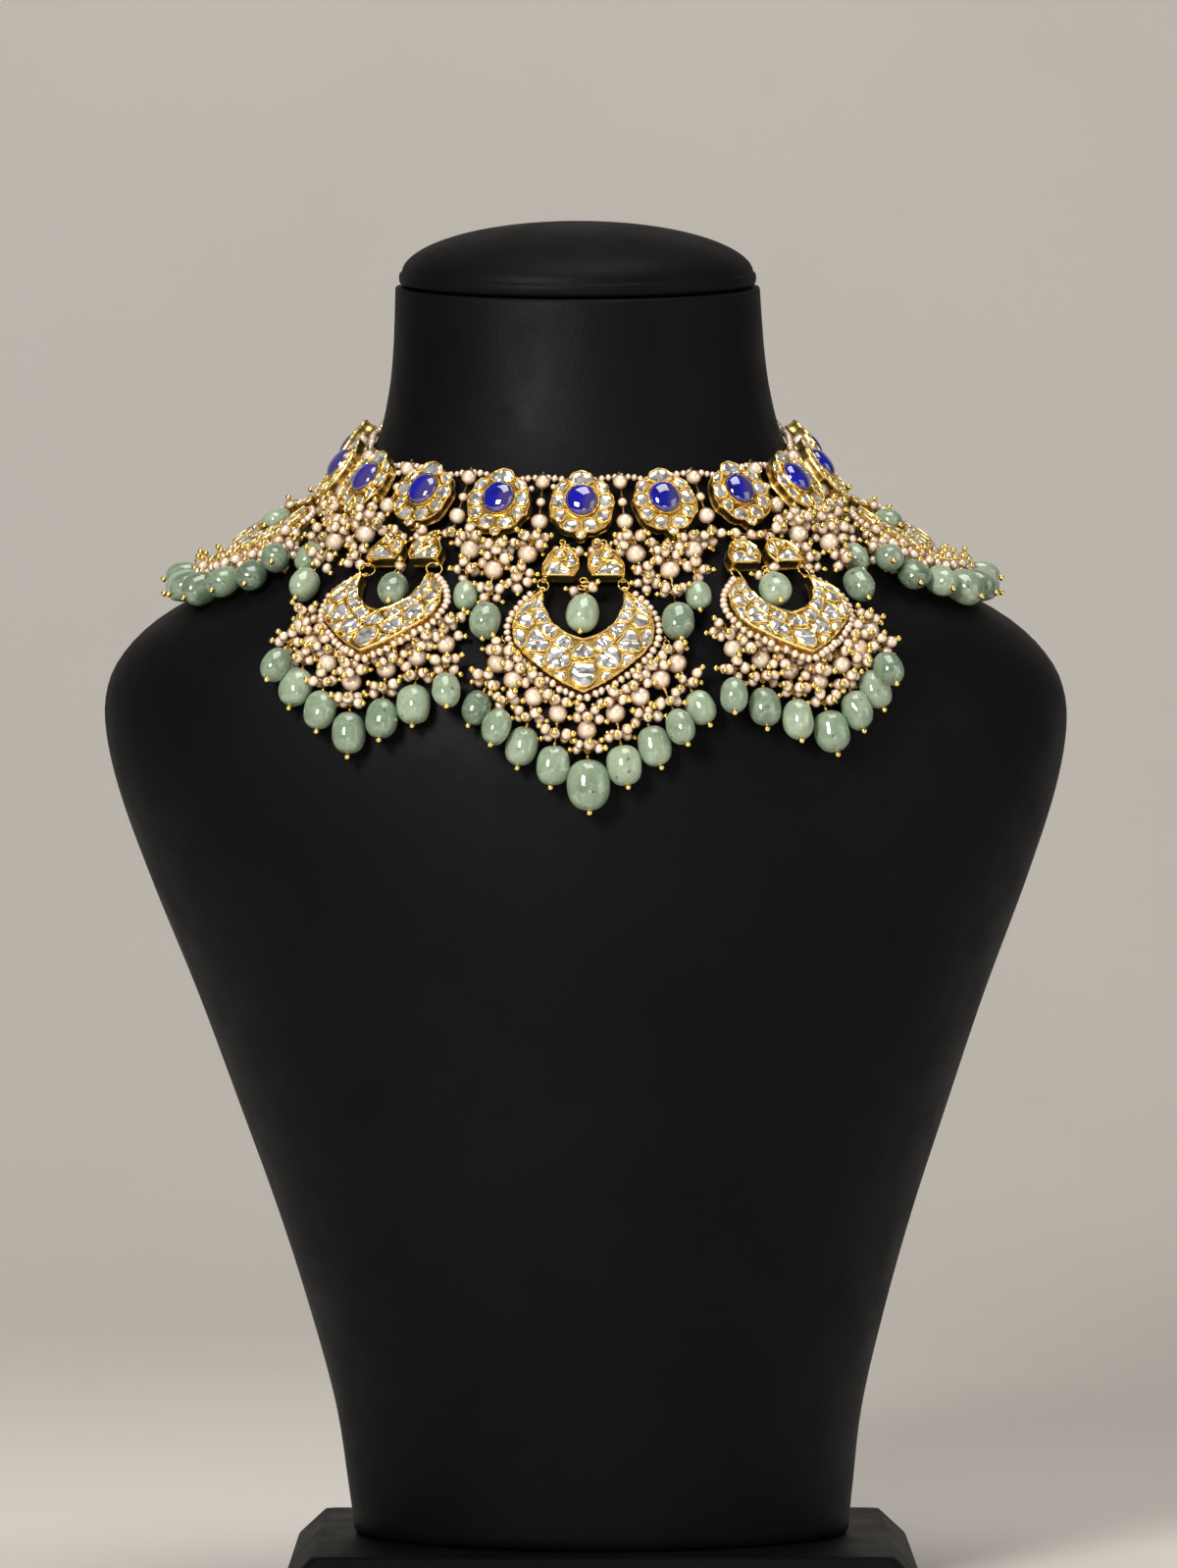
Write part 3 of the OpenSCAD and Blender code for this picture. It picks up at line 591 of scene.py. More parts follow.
class Path:
    """Line through points, read by the length along it."""

    def __init__(self, points):
        self.points = np.asarray(points, float)
        steps = np.linalg.norm(np.diff(self.points, axis=0), axis=1)
        self.s = np.concatenate([[0], np.cumsum(steps)])
        self.length = self.s[-1]

    def at(self, s):
        return vec(*[np.interp(s, self.s, self.points[:, c]) for c in range(3)])

    def way(self, s, reach):
        return self.at(s + reach) - self.at(s - reach)


# Materials
class Nodes:
    """Short hand for the nodes of one material. Scales are per metre, and bump distances in metres."""

    def __init__(self, name):
        self.material = bpy.data.materials.new(name)
        self.material.use_nodes = True
        self.tree = self.material.node_tree
        self.shader = self.tree.nodes["Principled BSDF"]

    def set(self, **values):
        for key, value in values.items():
            socket = self.shader.inputs[key.replace("_", " ").title().replace("Ior", "IOR")]
            socket.default_value = (*value, 1) if isinstance(value, tuple) and len(value) == 3 and \
                socket.type == "RGBA" else value
        return self

    def node(self, kind, **inputs):
        n = self.tree.nodes.new(kind)
        for key, value in inputs.items():
            self.feed(n.inputs[key.replace("_", " ")], value)
        return n

    def feed(self, socket, value):
        if isinstance(value, bpy.types.NodeSocket):
            self.tree.links.new(value, socket)
        elif isinstance(value, tuple) and len(value) == 3 and socket.type == "RGBA":
            socket.default_value = (*value, 1)
        else:
            socket.default_value = value

    def grain(self):
        n = self.tree.nodes.new("ShaderNodeAttribute")
        n.attribute_name = "grain"
        return n.outputs["Vector"]

    def tone(self):
        n = self.tree.nodes.new("ShaderNodeAttribute")
        n.attribute_name = "tone"
        return n.outputs["Fac"]

    def noise(self, scale, detail=3.0, roughness=0.5, distortion=0.0):
        return self.node("ShaderNodeTexNoise", Scale=scale, Detail=detail, Roughness=roughness,
                         Distortion=distortion, Vector=self.grain()).outputs["Fac"]

    def cells(self, scale, feature="F1"):
        n = self.node("ShaderNodeTexVoronoi", Scale=scale, Vector=self.grain())
        n.feature = feature
        return n.outputs["Distance"]

    def ramp(self, factor, *stops):
        n = self.tree.nodes.new("ShaderNodeValToRGB")
        self.feed(n.inputs["Fac"], factor)
        ramp = n.color_ramp
        while len(ramp.elements) < len(stops):
            ramp.elements.new(0.5)
        for element, (at, colour) in zip(ramp.elements, stops):
            element.position = at
            element.color = (*colour, 1) if len(colour) == 3 else colour
        return n.outputs["Color"]

    def grey(self, factor, *stops):
        return self.ramp(factor, *[(at, (g, g, g)) for at, g in stops])

    def mix(self, factor, a, b):
        n = self.tree.nodes.new("ShaderNodeMix")
        n.data_type = "RGBA"
        self.feed(n.inputs[0], factor)
        self.feed(n.inputs[6], a)
        self.feed(n.inputs[7], b)
        return n.outputs[2]

    def facing(self, blend):
        return self.node("ShaderNodeLayerWeight", Blend=blend).outputs["Facing"]

    def bump(self, height, strength, distance):
        n = self.node("ShaderNodeBump", Height=height, Strength=strength, Distance=distance)
        self.tree.links.new(n.outputs["Normal"], self.shader.inputs["Normal"])
        return self

    def link(self, socket, value):
        self.feed(self.shader.inputs[socket], value)
        return self


def make_gold(name, light, dark, low, high):
    m = Nodes(name).set(metallic=1.0)
    # the tone paints light into the gold's colour: deep is painted shade in wells and under lips, light is the
    # painted highlight on crests
    deep = tuple(0.42 * c for c in dark)
    body = m.ramp(m.tone(), (0.1, deep), (0.5, dark), (0.95, light))
    m.link("Base Color", m.mix(m.grey(m.noise(220, 2, 0.5), (0.35, 0.0), (0.7, 0.25)), body, dark))
    m.link("Roughness", m.grey(m.noise(260, 2), (0.3, low), (0.7, high)))
    return m.bump(m.noise(330, 1, 0.5), 0.15, 0.00006).material


gold = make_gold("gold", (0.95, 0.72, 0.29), (0.8, 0.55, 0.16), 0.22, 0.32)
gold_wire = make_gold("gold_wire", (0.9, 0.64, 0.22), (0.78, 0.5, 0.13), 0.18, 0.28)
# painted shade: the pins get a dark copy of the gold, so that they sink into the shade between the spacer pearls
shaded_gold_pin = make_gold("shaded_gold_pin", (0.4, 0.26, 0.09), (0.2, 0.12, 0.04), 0.3, 0.4)
gold_ball = make_gold("gold_ball", (0.98, 0.78, 0.3), (0.95, 0.7, 0.2), 0.14, 0.2)


def make_polki():
    m = Nodes("polki").set(metallic=0.68, coat_weight=1.0, coat_roughness=0.04, coat_ior=1.9)
    # painted reflections: white cells with dark grey edges stand in for the flat facets' flashes of light and
    # dark mirrored surroundings
    painted_facet_reflection = m.cells(420, "F1")
    body = m.ramp(painted_facet_reflection, (0.15, (0.95, 0.95, 0.95)), (0.45, (0.76, 0.75, 0.74)), (0.8, (0.3, 0.27, 0.23)))
    m.link("Base Color", m.mix(m.grey(m.tone(), (0.55, 0.0), (1.0, 0.5)), body, (0.5, 0.44, 0.38)))
    m.link("Roughness", m.grey(m.noise(400, 2), (0.35, 0.1), (0.7, 0.26)))
    return m.bump(m.cells(380, "F1"), 0.35, 0.0004).material


polki = make_polki()


def make_pearl(name, pale, warm, painted_rim_shade):
    m = Nodes(name).set(metallic=0.08, subsurface_weight=0.05, subsurface_radius=(0.9, 0.6, 0.45),
                        subsurface_scale=0.0006, coat_weight=1.0, coat_roughness=0.13, coat_ior=2.0, ior=1.8)
    body = m.mix(m.tone(), pale, warm)
    body = m.mix(m.grey(m.noise(260, 3, 0.6), (0.5, 0.0), (0.85, 0.2)), body, warm)
    # painted shade and reflection: the rims that turn away from the camera go dark brown, as if they mirrored
    # the dark bust and the gold
    m.link("Base Color", m.mix(m.grey(m.facing(0.45), (0.1, 0.0), (0.62, 1.0)), body, painted_rim_shade))
    m.link("Roughness", m.grey(m.noise(300, 2), (0.3, 0.2), (0.7, 0.27)))
    return m.bump(m.noise(260, 1, 0.5), 0.08, 0.00012).material


pearl = make_pearl("pearl", (0.87, 0.74, 0.58), (0.8, 0.61, 0.44), (0.24, 0.11, 0.04))
pearl_small = make_pearl("pearl_small", (0.87, 0.73, 0.56), (0.77, 0.55, 0.37), (0.2, 0.09, 0.03))


def make_green():
    m = Nodes("green_bead").set(roughness=0.1, ior=1.56, subsurface_weight=0.45,
                                subsurface_radius=(1.0, 1.0, 0.8), subsurface_scale=0.0026,
                                coat_weight=0.7, coat_roughness=0.04, transmission_weight=0.3)
    cloud = m.noise(150, 4, 0.6, 0.8)
    body = m.ramp(cloud, (0.32, (0.1, 0.145, 0.09)), (0.5, (0.25, 0.34, 0.225)), (0.68, (0.52, 0.62, 0.45)))
    shade = m.ramp(m.tone(), (0.0, (0.08, 0.12, 0.08)), (0.35, (0.25, 0.34, 0.23)), (1.0, (0.54, 0.64, 0.46)))
    body = m.mix(0.6, body, shade)
    vein = m.grey(m.cells(210, "DISTANCE_TO_EDGE"), (0.0, 0.4), (0.035, 0.0))
    body = m.mix(vein, body, (0.5, 0.6, 0.47))
    speck = m.grey(m.noise(520, 2, 0.5), (0.66, 0.0), (0.76, 0.8))
    m.link("Base Color", m.mix(speck, body, (0.03, 0.05, 0.035)))
    return m.bump(m.noise(220, 3), 0.12, 0.0003).material


green = make_green()


def make_sapphire():
    m = Nodes("blue_cabochon").set(roughness=0.05, ior=1.77, coat_weight=1.0, coat_roughness=0.02,
                                   subsurface_weight=0.15, subsurface_radius=(0.2, 0.25, 1.0),
                                   subsurface_scale=0.002)
    cloud = m.noise(190, 3, 0.55, 1.2)
    body = m.ramp(cloud, (0.35, (0.002, 0.002, 0.07)), (0.5, (0.003, 0.004, 0.24)),
                  (0.7, (0.005, 0.006, 0.36)))
    # painted reflection: a high tone turns the stone violet-grey, which make_cabochon puts on its right side
    side = m.grey(m.tone(), (0.42, 0.0), (0.6, 0.8), (0.9, 1.0))
    m.link("Base Color", m.mix(side, body, (0.05, 0.035, 0.16)))
    return m.bump(m.noise(160, 2), 0.08, 0.0004).material


sapphire = make_sapphire()


def make_leather():
    m = Nodes("bust_leather").set(ior=1.45, specular_ior_level=0.1)
    m.link("Base Color", m.ramp(m.noise(14, 4, 0.6), (0.35, (0.0014, 0.0014, 0.0017)),
                                (0.7, (0.0026, 0.0026, 0.0031))))
    m.link("Roughness", m.grey(m.noise(60, 4, 0.6), (0.35, 0.5), (0.7, 0.62)))
    pebble = m.cells(900, "SMOOTH_F1")
    fine = m.noise(1700, 3, 0.6)
    return m.bump(m.mix(0.4, pebble, fine), 0.3, 0.0003).material


leather = make_leather()


# Bust
BUST_SIDES = 168


def skin_ring(z, grow=0.0):
    ring = np.array([skin(k * 360 / BUST_SIDES, z) for k in range(BUST_SIDES)])
    if grow:
        middle = vec(axis_x(z), 0, z)
        out = ring - middle
        ring = ring + out / np.linalg.norm(out, axis=1)[:, None] * grow
    return ring


def neck_ring(grow, h):
    """Ring in the tilted plane of the neck's top, moved up by h across that plane."""
    x = axis_x(NECK_TOP)
    ring = []
    for k in range(BUST_SIDES):
        p = skin(k * 360 / BUST_SIDES, NECK_TOP)
        y = p[1] * grow
        ring.append((x + (p[0] - x) * grow, y - h * sin(CAP_TILT),
                     NECK_TOP + y * math.tan(math.radians(CAP_TILT)) + h * cos(CAP_TILT)))
    return np.array(ring)


def make_bust():
    shape = Shape()
    rings = [skin_ring(BASE_H + 0.05, -1.6), skin_ring(BASE_H + 0.6, -0.5), skin_ring(BASE_H + 1.6)]
    rings += [skin_ring(z) for z in np.arange(BASE_H + 4, NECK_TOP - 14, 3.4)]
    # the neck's last rings turn from level to the tilt of its top
    top = neck_ring(1, 0)
    level = skin_ring(NECK_TOP - 13)
    for t in (0.25, 0.5, 0.75, 0.9):
        rings.append(level * (1 - t) + top * t)
    rings += [neck_ring(1, -0.5), neck_ring(0.996, -0.12), neck_ring(0.985, 0), neck_ring(0.95, 0)]
    add_rings(shape, rings)
    piece("bust_skin", shape, [leather], ["bust"], sharp=50)


# Rolled rim of the cap: share of the neck's width and height over its top
CAP_EDGE = [(0.93, 0.3), (0.95, 0.45), (0.963, 0.7), (0.972, 1.0), (0.978, 1.6), (0.98, 2.6), (0.979, 3.6),
            (0.974, 4.2), (0.966, 4.55), (0.963, 4.75)]


def make_cap():
    shape = Shape()
    rings = [neck_ring(share, h) for share, h in CAP_EDGE]
    for t in np.linspace(4, 88, 26):
        rings.append(neck_ring(CAP_EDGE[-1][0] * cos(t) ** 0.96, CAP_RIM + 0.5 + CAP_DOME * sin(t) ** 1.1))
    add_rings(shape, rings)
    piece("cap_skin", shape, [leather], ["cap"], sharp=60)


def base_ring(less, r, z):
    """Rectangle with round corners, less than the base's full width and depth."""
    ring = []
    x, y = (BASE_W - less) / 2 - r, (BASE_D - less) / 2 - r
    for cx, cy, start in ((1, 1, 0), (-1, 1, 90), (-1, -1, 180), (1, -1, 270)):
        for a in np.linspace(start, start + 90, 6):
            ring.append((cx * x + r * cos(a), cy * y + r * sin(a), z))
    return np.array(ring)


BEVEL_FOOT, BEVEL_IN = BASE_H - BASE_BEVEL, 2 * BASE_BEVEL
# Bevelled block with slightly rounded edges: less in width, radius of the corners and height
BASE_EDGE = [(1.6, 2.4, 0), (0.4, 3, 0.35), (0, 3.2, 1.1), (0, 3.2, BEVEL_FOOT - 0.9),
             (0.4, 3.2, BEVEL_FOOT - 0.1), (1.6, 3.2, BEVEL_FOOT + 0.8), (BEVEL_IN - 1.8, 3, BASE_H - 0.9),
             (BEVEL_IN - 0.2, 3, BASE_H - 0.15), (BEVEL_IN + 1.6, 3, BASE_H)]


def make_base():
    shape = Shape()
    add_rings(shape, [base_ring(*row) for row in BASE_EDGE])
    piece("base_block", shape, [leather], ["base"], sharp=35)


make_bust()
make_cap()
make_base()


# Cells of gold with stones
def resampled(polygon, n):
    p = np.concatenate([polygon, polygon[:1]])
    s = np.concatenate([[0], np.cumsum(np.linalg.norm(np.diff(p, axis=0), axis=1))])
    t = np.arange(n) * s[-1] / n
    return np.stack([np.interp(t, s, p[:, 0]), np.interp(t, s, p[:, 1])], 1)


def softened(polygon, n, width):
    """Polygon of n points, its corners rounded by a mean over a stretch of the given width."""
    fine = 12 * n
    p = resampled(np.asarray(polygon, float), fine)
    length = np.linalg.norm(np.roll(p, -1, 0) - p, axis=1).sum()
    half = max(1, int(round(width / length * fine / 2)))
    total = np.zeros_like(p)
    for k in range(-half, half + 1):
        total += np.roll(p, k, 0)
    return resampled(total / (2 * half + 1), n)


def anticlockwise(p):
    p = np.asarray(p, float)
    return p[::-1] if area2(p) < 0 else p


def area2(p):
    q = np.roll(p, -1, 0)
    return (p[:, 0] * q[:, 1] - q[:, 0] * p[:, 1]).sum()


def inset(p, d):
    """Counter-clockwise polygon moved inwards by d, or outwards when d is negative."""
    a, b = p - np.roll(p, 1, 0), np.roll(p, -1, 0) - p
    n = np.stack([-(a + b)[:, 1], (a + b)[:, 0]], 1)
    n /= np.maximum(np.linalg.norm(n, axis=1), 1e-9)[:, None]
    return p + n * d


def narrowness(p):
    """Width of an evenly spaced outline at each of its points, measured to the edge across from it."""
    n = len(p)
    step = np.linalg.norm(np.roll(p, -1, 0) - p, axis=1).mean()
    apart = np.abs(np.arange(n)[:, None] - np.arange(n)[None])
    along = np.minimum(apart, n - apart) * step
    straight = np.linalg.norm(p[:, None] - p[None], axis=2)
    return np.where(along > 1.3 * straight + step, straight, 100.0).min(1)


def clipped(p, point, normal):
    """Part of a convex polygon on the side of a line that its normal points to."""
    out = []
    side = (p - point) @ normal
    for k in range(len(p)):
        a, b, sa, sb = p[k], p[(k + 1) % len(p)], side[k], side[(k + 1) % len(p)]
        if sa >= 0:
            out.append(a)
        if sa * sb < 0:
            out.append(a + (b - a) * sa / (sa - sb))
    return np.array(out)


SEAM = 0.07


def split(p, stones):
    """Cuts a cell's floor for two or three stones, across its longer way first."""
    if stones == 1:
        return [p]
    middle = p.mean(0)
    spread = np.linalg.eigh(np.cov((p - middle).T))[1]

    def halves(p, middle, way):
        return [clipped(p, middle + way * SEAM, way), clipped(p, middle - way * SEAM, -way)]

    first, second = halves(p, middle, spread[:, 1])
    return [first, second] if stones == 2 else [first, *halves(second, second.mean(0), spread[:, 0])]


STONE_SIDES, STONE_Z, STONE_HEIGHT, SMALLEST_STONE = 10, 0.08, 0.5, 0.125
# Rings of facets over the girdle: share of its width, share of the height, and how far the two waver
FACETS = [(0.97, 0.4, 0.02, 0), (0.72, 0.75, 0.08, 0.16), (0.42, 0.95, 0.14, 0.16)]


def add_stone(shape, polygon, z, f):
    """Flat-cut stone with a crooked table and uneven facets."""
    if len(polygon) < 3 or abs(area2(polygon)) / 2 < SMALLEST_STONE:
        return
    n = STONE_SIDES
    girdle = softened(polygon, n, 0.2)
    middle = girdle.mean(0) + rng.uniform(-0.12, 0.12, 2)
    rings = [level(girdle, z)]
    for share, up, waver, rough in FACETS:
        outline = middle + (girdle - middle) * (share + rng.uniform(-waver, waver, (n, 1)))
        height = up + (rng.uniform(-rough, rough, n) if rough else 0)
        rings.append(level(outline, z + STONE_HEIGHT * height))
    peak = [[*middle, z + STONE_HEIGHT * rng.uniform(0.95, 1.08)]]
    v = np.concatenate([*rings, peak])
    quads = ring_faces(len(rings), n)
    i, last = np.arange(n), len(v) - 1
    top = np.stack([last - n + i, last - n + (i + 1) % n, np.full(n, last)], 1)
    shape.add(place(v, f), [quads[:, [0, 1, 2]], quads[:, [0, 2, 3]], top], 1, rng.uniform(),
              v + rng.uniform(-300, 300, 3), smooth=False)


# Cross-section of a cell's rim, from its outer foot to its floor: inset from the stone's edge, height over
# the ground, and tone, which is painted light: a painted highlight on the crest, painted shade at the foot and
# down in the well
RIM = [(-0.52, -0.1, 0.2), (-0.48, 0.34, 0.55), (-0.37, 0.56, 0.9), (-0.22, 0.62, 1.0), (-0.08, 0.53, 0.85),
       (0.02, 0.3, 0.4), (0.12, 0.02, 0.2)]
RIM_WAVER = 0.015


def add_cell(shape, polygon, ground, f, stones=1, rim=1.0, points=32):
    """One kundan cell: a rim, a well and its stones, which fill the polygon."""
    p = softened(anticlockwise(polygon), points, 0.4)
    rings = [level(inset(p, d * rim), ground + h * rim + rng.uniform(-RIM_WAVER, RIM_WAVER, points))
             for d, h, _ in RIM]
    # the rim's tones paint a highlight on its crest and shade at its foot and in the well
    add_rings(shape, rings, f, low=False, tone=np.repeat([tone for _, _, tone in RIM], points))
    for part in split(inset(p, 0.06), stones):
        add_stone(shape, part, ground + STONE_Z, f)


LIP_DROP = 0.7


def caps(p):
    """Triangles that fill an anticlockwise outline with hollows in it."""
    tris = np.array(tessellate_polygon([[Vector((x, y, 0)) for x, y in p]]))
    a, b, c = (p[tris[:, k]] for k in range(3))
    turn = (b - a)[:, 0] * (c - a)[:, 1] - (b - a)[:, 1] * (c - a)[:, 0]
    return np.where(turn[:, None] < 0, tris[:, ::-1], tris)


def plate_body(shape, outline, f, thickness, lip):
    """Deep gold wall under the cells: a rolled back edge, a drawn-in wall, a raised lip and a flat ground. Its
    tone paints shade on the back edge and the ground, and a highlight on the lip.
    """
    p = anticlockwise(outline)
    n = len(p)
    fill = caps(p)
    # insets stay clear of each other where the plate is narrow
    room = 0.38 * narrowness(p)
    t = thickness
    # inset, height and tone, where the tone is painted light: painted shade on the foot and the ground, a
    # painted highlight on the lip's crest
    steps = [(0.5, 0, 0.3), (0.12, 0.08, 0.4), (-0.02, 0.3, 0.7), (0.02, 0.62, 0.6), (0.22, 0.85, 0.5),
             (0.24, 1.6, 0.55), (0.22, t - 1.6, 0.6), (0.08, t - 1.2, 0.7), (0, t - 0.7, 0.85),
             (0.05, t - 0.35, 1), (0.05 + 0.3 * lip, t - 0.12, 1), (0.7 * lip, t - 0.3, 0.5),
             (lip, t - LIP_DROP, 0.25)]
    rings = [level(inset(p, np.minimum(d, room)[:, None]), z) for d, z, _ in steps]
    shape.add(place(np.concatenate(rings), f),
              [ring_faces(len(rings), n), fill[:, ::-1], (len(rings) - 1) * n + fill], 0,
              np.repeat([tone for _, _, tone in steps], n))
    return thickness - LIP_DROP


# Medallions: the edge round the middle of the ring's frame, then the cells and the number of stones in each
FLOWER = [(0, 9.8), (2.7, 8.7), (4.3, 6.7), (6.3, 6.1), (7.8, 4.6), (8.4, 2.4), (9.6, 0.8), (9.8, -1.1),
          (9.4, -3.1), (9, -4.7), (8.6, -6.7), (7.4, -9), (5.5, -10.2), (3.9, -11.2), (1.5, -11), (0.9, -12.6),
          (-0.5, -13.3), (-2, -12.6), (-2.6, -11), (-5.2, -10.6), (-6.7, -9.4), (-7.9, -7), (-9.5, -5.5),
          (-9.8, -2.7), (-9.3, 0), (-8.7, 2.6), (-7.1, 5.2), (-5.4, 6.7), (-3.6, 7.1), (-2.4, 8.9)]
FLOWER_CELLS = [
    ([(-3.6, 6.5), (-2.4, 8.6), (0, 9.4), (2.7, 8.2), (3.7, 6.2), (1.8, 5.3), (0, 5.2), (-2.2, 5.4)], 2),
    ([(4.2, 5.4), (6, 5.9), (7.6, 4.3), (7.8, 2.6), (6.4, 2.1), (5, 3.8)], 1),
    ([(5.4, 1.2), (7.8, 1.5), (9, 0), (8.8, -2), (7.2, -2.8), (5.4, -2.6)], 1),
    ([(5.1, -3.8), (7.4, -3.8), (8.2, -4.7), (7.6, -6.8), (6.4, -7.6), (4.7, -6.3)], 1),
    ([(0.7, -7), (2.6, -6.5), (4.4, -8), (4.2, -10.1), (2.2, -10.8), (0.9, -9.9)], 1),
    ([(-1.4, -11.1), (-0.5, -10.8), (0.5, -11.3), (0.6, -12.2), (-0.5, -12.9), (-1.6, -12.2)], 1),
    ([(-5.5, -9.3), (-4.7, -7.6), (-2.4, -7), (-1, -8), (-1.4, -10.1), (-3.6, -10.6)], 1),
    ([(-7.8, -5.5), (-7.3, -3.9), (-5.1, -3.7), (-5, -5.2), (-6, -7.1), (-7.3, -7)], 1),
    ([(-8.9, -0.6), (-8.3, 1.5), (-5.7, 1.8), (-5.2, -0.6), (-5.7, -2.5), (-8.3, -2.5)], 1),
    ([(-7.7, 3.1), (-7, 4.8), (-5.2, 6.2), (-4, 5.4), (-5.1, 3.5), (-6, 2.8)], 1)]
FLOWER_GROW = 1.02
# Bezel round a cabochon: how far out from it, and height over the ground
BEZEL = [(0.6, 0.0), (0.56, 0.7), (0.4, 1.0), (0.2, 1.0), (0.08, 0.75), (0.06, 0.0)]


def stone_ring(more, share, n):
    """Outline of a cabochon, with more added to its size, and a share of that taken."""
    size = vec(SAPPHIRE_W + more, SAPPHIRE_H + more) * share
    return circle(n) * size / 2 - vec(0, SAPPHIRE_DROP)


def medallion_frame(k):
    return ring_frame((k - 1 - EACH_SIDE) * PITCH, MEDALLION_LIFT)


def make_medallion(k):
    shape = Shape()
    f = medallion_frame(k)
    # every other flower is mirrored
    flip = vec(1 if k % 2 == 0 else -1, 1)
    ground = plate_body(shape, softened(np.array(FLOWER) * flip, 132, 0.9), f, MEDALLION_WALL, 0.5)
    for polygon, stones in FLOWER_CELLS:
        cell = np.array(polygon) * flip
        middle = cell.mean(0)
        cell = middle + (cell - middle) * FLOWER_GROW + rng.uniform(-0.08, 0.08, 2)
        add_cell(shape, cell, ground + 0.1, f, stones, points=28)
    bezel = [level(stone_ring(2 * out, 1, 40), ground + z) for out, z in BEZEL]
    add_rings(shape, bezel, f, low=False, high=False)
    piece(f"flower_{k}", shape, [gold, polki], [f"medallion_{k}"], sharp=48)


CABOCHON_SIDES, CABOCHON_EDGE, CABOCHON_DOME = 44, 0.75, 2.35


def make_cabochon(k):
    """Domed stone with a slow wave in its top and a tone that runs from left to right, which paints a
    reflection: violet-grey on the right and lower side, blue on the left.
    """
    shape = Shape()
    seat = MEDALLION_WALL - LIP_DROP + 0.05
    rings = [level(stone_ring(0.1, 1, CABOCHON_SIDES), seat)]
    for t in (0, 10, 20, 30, 40, 50, 60, 69, 77, 84):
        h = CABOCHON_EDGE + CABOCHON_DOME * sin(t) ** 1.05
        rings.append(level(stone_ring(0.1, cos(t) ** 0.9, CABOCHON_SIDES), seat + h))
    for ring in rings:
        ring[:, 2] += 0.07 * np.sin(ring[:, 0] * 0.9 + k) * np.clip(ring[:, 2] - seat - 0.8, 0, 1)
    v = np.concatenate(rings)
    grain = v + rng.uniform(-300, 300, 3)
    # painted reflection: the tone grows to the right and downwards, where the sapphire material turns
    # violet-grey
    tone = 0.45 + v[:, 0] / SAPPHIRE_W - 0.25 * v[:, 1] / SAPPHIRE_H + rng.uniform(-0.06, 0.06)
    add_rings(shape, rings, medallion_frame(k), tone=tone, grain=grain)
    piece(f"cabochon_{k}", shape, [sapphire], [f"sapphire_{k}"], sharp=60)


for k in range(1, 2 * EACH_SIDE + 2):
    make_medallion(k)
    make_cabochon(k)


# Crescent cells, in the middle crescent's size: right half of the plate, with x from the middle and y down from
# the tips, then the number of stones in each
HALF_CELLS = [
    ([(12.2, 1.8), (14.2, 4.5), (15.2, 6.6), (12.0, 6.6), (12.3, 4)], 1),
    ([(14.3, 3.2), (17.2, 5), (19.8, 8.3), (19.4, 9), (16, 6.9)], 1),
    ([(11.3, 7.2), (14, 6.9), (14.4, 8.6), (13.2, 11), (10.2, 11), (10.6, 9)], 2),
    ([(14.9, 8.9), (17, 8.2), (19.6, 10.4), (19, 11.9), (16.2, 12.9), (14.6, 11.4)], 1),
    ([(7.3, 13.2), (10.2, 11.5), (12.6, 12), (12, 13.8), (9.4, 16.6)], 2),
    ([(13.9, 13.3), (15.4, 15), (16.9, 19.2), (16.2, 20.4), (11.4, 20.4), (10, 18.3), (12.2, 15)], 3),
    ([(17.3, 14.5), (19.3, 12.9), (20.2, 14.7), (19.6, 18), (18, 19.5), (17.1, 17.2)], 1),
    ([(3.4, 17.6), (5.8, 15.1), (8.9, 17.6), (5.6, 20.6), (3.6, 19.4)], 2),
    ([(8.1, 19.2), (9.9, 20.1), (10.8, 23), (10, 26), (7.3, 26.6), (4.4, 25), (4, 22.9)], 3),
    ([(11.8, 22.2), (14.9, 21.6), (14.6, 23.2), (12.4, 25.7), (11.2, 25)], 1),
    ([(5.3, 27.9), (8.1, 27.7), (8.2, 28.5), (5.9, 30.3), (5.2, 29.3)], 1)]
MIDDLE_CELLS = [
    ([(0, 17.7), (3.4, 21), (3.3, 22.1), (1.6, 22.8), (-1.6, 22.8), (-3.3, 22.1), (-3.4, 21)], 2),
    ([(0, 24.9), (2.7, 24.6), (3.8, 26.5), (3.5, 29.6), (1.8, 31.8), (0, 32.4), (-1.8, 31.8), (-3.5, 29.6),
      (-3.8, 26.5), (-2.7, 24.6)], 2)]
# Notched crown over the lowest stone
CROWN = [(-3.3, 24.2), (-1.9, 23.6), (-0.9, 24.3), (0, 23.3), (0.9, 24.3), (1.9, 23.6), (3.3, 24.2)]
# Plates below this size have narrower rims and fewer stones
FULL_DETAIL = 0.8
EYELET_WIRE = 0.26


def below_tips(points, side=1):
    return np.array([(side * x, -y) for x, y in points])


def crescent_outline(size):
    # from the middle of the inner edge up to the tip, then down the outer edge
    half = np.concatenate([below_tips(CRESCENT_INNER), below_tips(CRESCENT_OUTER)])
    mirror = half[::-1][1:-1] * vec(-1, 1)
    return softened(np.concatenate([half, mirror]) * size, 190, 1.1)


def tip_eyelet(k, side):
    return on_frame(FRAMES[k], side * 12.1 * SIZES[k], 0.75, PLATE_T / 2)


